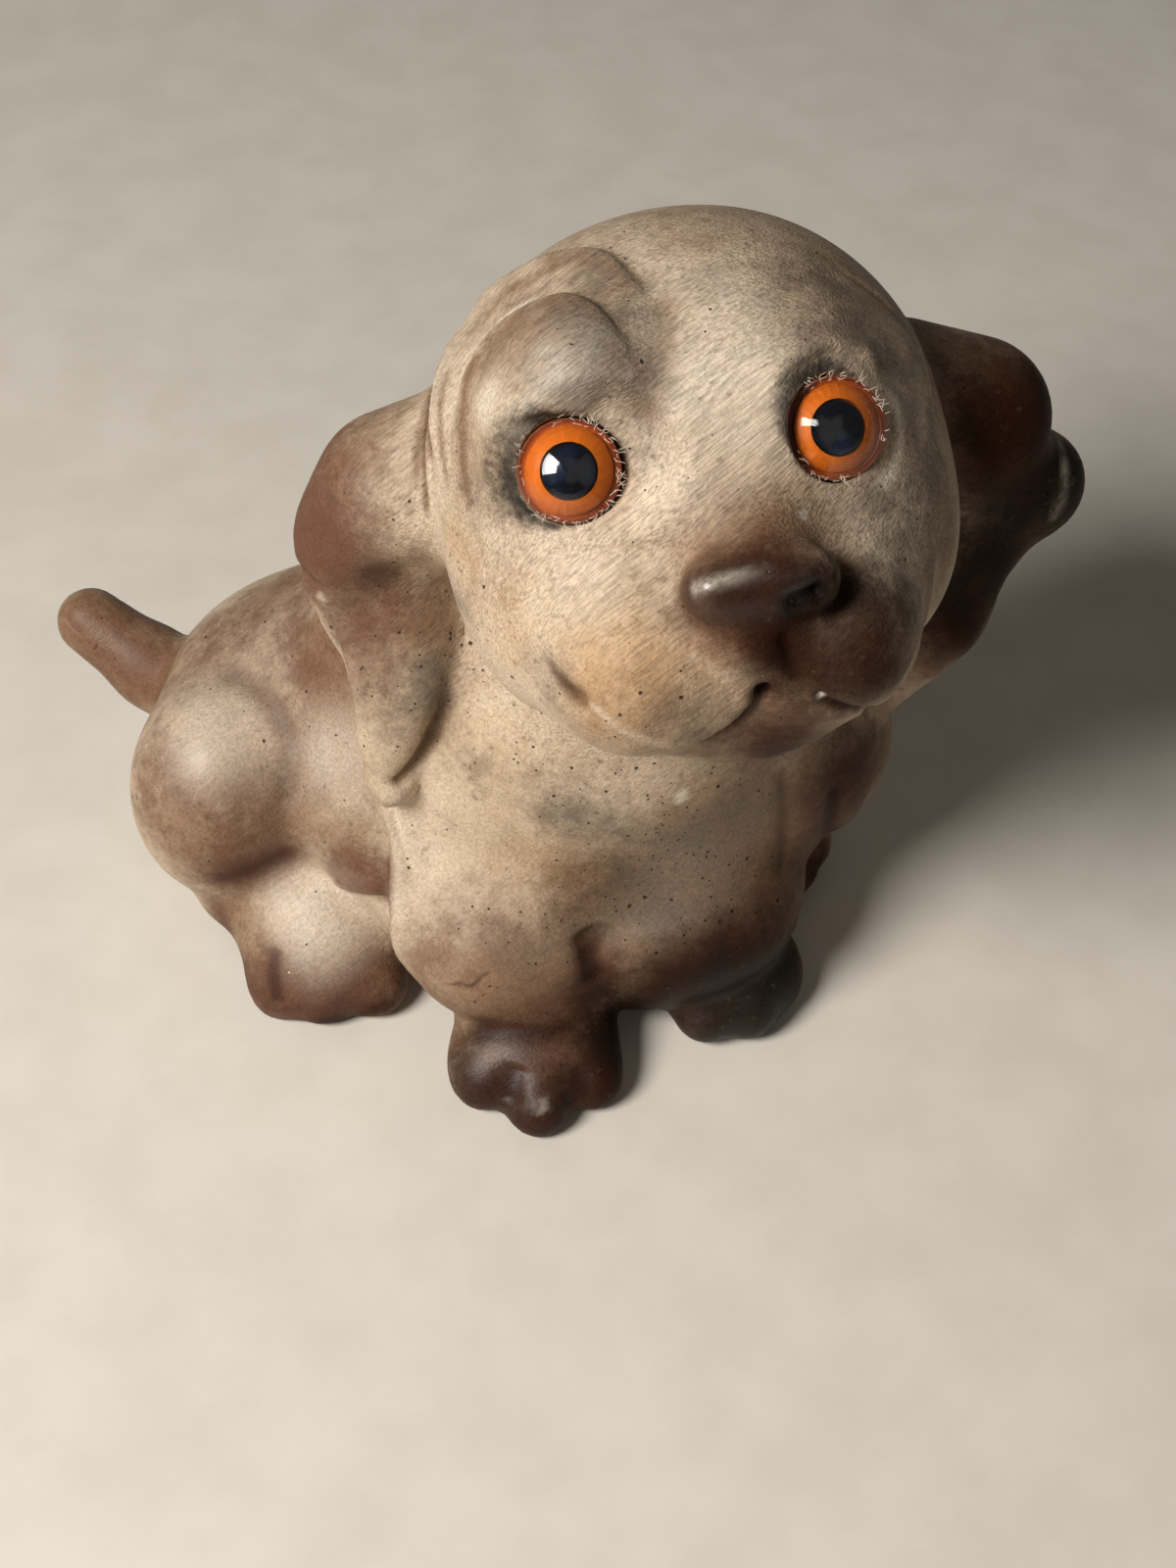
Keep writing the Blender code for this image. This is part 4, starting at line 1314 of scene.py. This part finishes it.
def eye_reach(nodes, eye):
    """How far a place is from the axis of the eye, from 0 to 1 at its rim."""
    offset = nodes.add("VectorMath", {0: nodes.place, 1: eye.place * MM}, operation="SUBTRACT")
    inputs = {0: offset.outputs[0], 1: eye.axes[:, 2]}
    across = nodes.add("VectorMath", inputs, operation="CROSS_PRODUCT")
    reach = nodes.add("VectorMath", {0: across.outputs[0]}, operation="LENGTH")
    return nodes.maths("DIVIDE", reach.outputs["Value"], EYE_DIAMETER / 2 * MM)


def lens_plastic(eye, name):
    """Clear plastic that lets lamplight through to the iris, brown at its rim with grime and painted
    shade.
    """
    nodes = Nodes(f"{name}_clear_cap")
    out = eye_reach(nodes, eye)
    # Grime and painted shade: the cap turns brown towards its rim
    rim = nodes.mix(nodes.between(out, 0.82, 0.99), CLEAN, RIM_GRIME_AND_SHADE)
    clear = nodes.between(out, 0.93, 1.0, 1.0, 0.35)
    rough = nodes.between(nodes.noise(900.0, 3.0), 0.3, 0.8, 0.01, 0.07)
    nodes.finish({"Base Color": rim, "Transmission Weight": clear, "IOR": CAP_IOR, "Roughness": rough})
    through = nodes.add("BsdfTransparent").outputs[0]
    shadow = nodes.add("LightPath").outputs["Is Shadow Ray"]
    both = nodes.add("MixShader", {0: shadow, 1: nodes.shader.outputs[0], 2: through})
    nodes.link(both.outputs[0], nodes.output.inputs["Surface"])
    return nodes.material


def iris_plastic(eye, name):
    """Orange plastic with painted light and shade: brightest beside the pupil, where the clear cap
    focuses light, and red-brown at its rim.
    """
    nodes = Nodes(f"{name}_orange_iris")
    haze = nodes.noise(700.0, 4.0)
    out = nodes.maths("ADD", eye_reach(nodes, eye), nodes.scaled(haze, 0.10, -0.05))
    ramp = nodes.add("ValToRGB", {0: out})
    first, last = ramp.color_ramp.elements
    first.position, first.color = IRIS_STOPS[0][0], colour(IRIS_STOPS[0][1])
    last.position, last.color = IRIS_STOPS[-1][0], colour(IRIS_STOPS[-1][1])
    for position, tint in IRIS_STOPS[1:-1]:
        ramp.color_ramp.elements.new(position).color = colour(tint)
    rough = nodes.between(haze, 0.3, 0.7, 0.42, 0.55)
    return nodes.finish({"Base Color": ramp.outputs[0], "Roughness": rough, "Specular IOR Level": 0.08})


def pupil_plastic():
    nodes = Nodes("black_pupil")
    haze = nodes.noise(300.0, 4.0)
    tint = nodes.mix(nodes.between(haze, 0.48, 0.72), *PUPIL_TINTS)
    rough = nodes.between(haze, 0.3, 0.7, 0.05, 0.12)
    return nodes.finish({"Base Color": tint, "Specular IOR Level": 0.25, "Roughness": rough})


# For each eye, the arcs of its rim where dust fibres cling: their middle, their spread and how many
FIBRE_ARCS = {
    "right": [(20.0, 45.0, 34), (80.0, 22.0, 9), (-75.0, 60.0, 36), (185.0, 40.0, 9)],
    "left": [(60.0, 60.0, 38), (-120.0, 50.0, 20), (0.0, 30.0, 5)],
}
FIBRE_RADIUS = 0.032
FIBRE_LENGTH = (0.4, 1.3)
FIBRE_OUT = (-0.75, 0.15)
FIBRE_UP = (0.15, 0.35)
FIBRE_LEAN = 100.0
FIBRE_RISE = 0.5
FIBRE_BEND = 0.3
DOME_HEIGHT = 3.0


def dust_fibres(eye, arcs, name):
    """Short pale fibres of dust caught round the rim of an eye."""
    chance = np.random.default_rng(SEED)
    fluff = bmesh.new()
    for middle, spread, count in arcs:
        for _ in range(count):
            angle = math.radians(middle + spread * chance.uniform(-1.0, 1.0))
            radius = EYE_DIAMETER / 2 + chance.uniform(*FIBRE_OUT)
            inward = 1.0 - (radius / (EYE_DIAMETER / 2)) ** 2
            start = np.array([radius * math.cos(angle), radius * math.sin(angle), 0.0])
            start[2] = EYE_PROUD - DOME_HEIGHT + DOME_HEIGHT * inward + chance.uniform(*FIBRE_UP)
            lean = angle + math.radians(chance.uniform(-FIBRE_LEAN, FIBRE_LEAN))
            length = chance.uniform(*FIBRE_LENGTH)
            run = np.array([math.cos(lean), math.sin(lean), chance.uniform(0.0, FIBRE_RISE)]) * length
            bend = chance.uniform(-FIBRE_BEND, FIBRE_BEND, 3) * length
            tube(fluff, [start + run * s + bend * s * (1.0 - s) * 2.0 for s in (0.0, 0.33, 0.67, 1.0)])
    mesh = mesh_from(fluff, name)
    mesh.transform(Matrix.Scale(MM, 4) @ placed(eye.axes, eye.place))
    mesh.shade_smooth()
    return add_thing(name, mesh)


def tube(fluff, places):
    """A thin four-sided thread through these places, with closed ends."""
    rings = []
    for index, place in enumerate(places):
        ahead = places[min(index + 1, len(places) - 1)] - places[max(index - 1, 0)]
        turn = Vector(ahead).to_track_quat("Z", "Y")
        ring = []
        for corner in range(4):
            around = math.pi / 2 * corner
            offset = turn @ Vector((math.cos(around), math.sin(around), 0.0)) * FIBRE_RADIUS
            ring.append(fluff.verts.new(Vector(place) + offset))
        rings.append(ring)
    for low, high in zip(rings, rings[1:]):
        for corner in range(4):
            after = (corner + 1) % 4
            fluff.faces.new((low[corner], low[after], high[after], high[corner]))
    fluff.faces.new(rings[0][::-1])
    fluff.faces.new(rings[-1])


def fibre_cloth():
    nodes = Nodes("dust_fibres")
    shade = nodes.noise(800.0, 3.0)
    tint = nodes.mix(nodes.between(shade, 0.35, 0.65), *FIBRE_TINTS)
    return nodes.finish({"Base Color": tint, "Roughness": 0.85, "Normal": nodes.bump(shade, 0.00005)})


def set_material(thing, material):
    thing.data.materials.clear()
    thing.data.materials.append(material)


# Each lamp's name, place, size, power and tint
LAMPS = [
    ("key_lamp", (-0.50, -0.30, 0.60), 0.34, 8.0, (1.0, 0.975, 0.94)),
    ("fill_lamp", (0.10, -0.75, 0.70), 0.8, 0.35, (1.0, 0.96, 0.90)),
]
LAMP_AIM = (0.0, 0.0, 0.06)
SKY_TINT = (1.0, 0.95, 0.87)
SKY_STRENGTH = 0.08
FLOOR_HALF = 3.0


def studio():
    """A pale floor, a soft lamp from the photograph's upper left and an even sky."""
    mesh = bpy.data.meshes.new("floor")
    corners = [(-1, -1), (1, -1), (1, 1), (-1, 1)]
    mesh.from_pydata([(x * FLOOR_HALF, y * FLOOR_HALF, 0.0) for x, y in corners], [], [(0, 1, 2, 3)])
    floor = add_thing("floor", mesh)
    nodes = Nodes("pale_floor")
    pale = nodes.mix(nodes.between(nodes.noise(60.0, 5.0), 0.3, 0.7), *FLOOR_TINTS)
    set_material(floor, nodes.finish({"Base Color": pale, "Roughness": 0.9}))

    for lamp in LAMPS:
        add_lamp(*lamp)
    world = bpy.data.worlds.new("even_sky")
    world.use_nodes = True
    sky = world.node_tree.nodes["Background"]
    sky.inputs["Color"].default_value = colour(SKY_TINT)
    sky.inputs["Strength"].default_value = SKY_STRENGTH
    bpy.context.scene.world = world


def add_lamp(name, place, size, power, tint):
    lamp = bpy.data.lights.new(name, "AREA")
    lamp.shape = "DISK"
    lamp.size = size
    lamp.energy = power
    lamp.color = tint
    thing = add_thing(name, lamp)
    thing.location = place
    aim = Vector(LAMP_AIM) - thing.location
    thing.rotation_euler = aim.to_track_quat("-Z", "Y").to_euler()


def add_camera():
    data = bpy.data.cameras.new("photo_camera")
    data.lens = CAMERA_LENS
    data.sensor_width = CAMERA_SENSOR
    data.clip_start = 0.01
    camera = add_thing("photo_camera", data)
    camera.location = CAMERA_PLACE
    camera.rotation_euler = [math.radians(angle) for angle in CAMERA_TURN]
    bpy.context.scene.camera = camera


def main():
    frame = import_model()
    add_camera()
    studio()
    skin = Skin()
    body = make_skin(skin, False)
    set_material(body, rubber())
    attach(body, "root")
    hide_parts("body")
    for name, eye in skin.eyes.items():
        set_material(frame["nodes"][f"{name}_eye_lens"], lens_plastic(eye, name))
        set_material(frame["nodes"][f"{name}_eye_iris"], iris_plastic(eye, name))
        set_material(frame["nodes"][f"{name}_eye_pupil"], pupil_plastic())
        fibres = dust_fibres(eye, FIBRE_ARCS[name], f"{name}_eye_dust")
        set_material(fibres, fibre_cloth())
        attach(fibres, "root")
    bpy.context.scene.view_settings.view_transform = "Standard"


main()
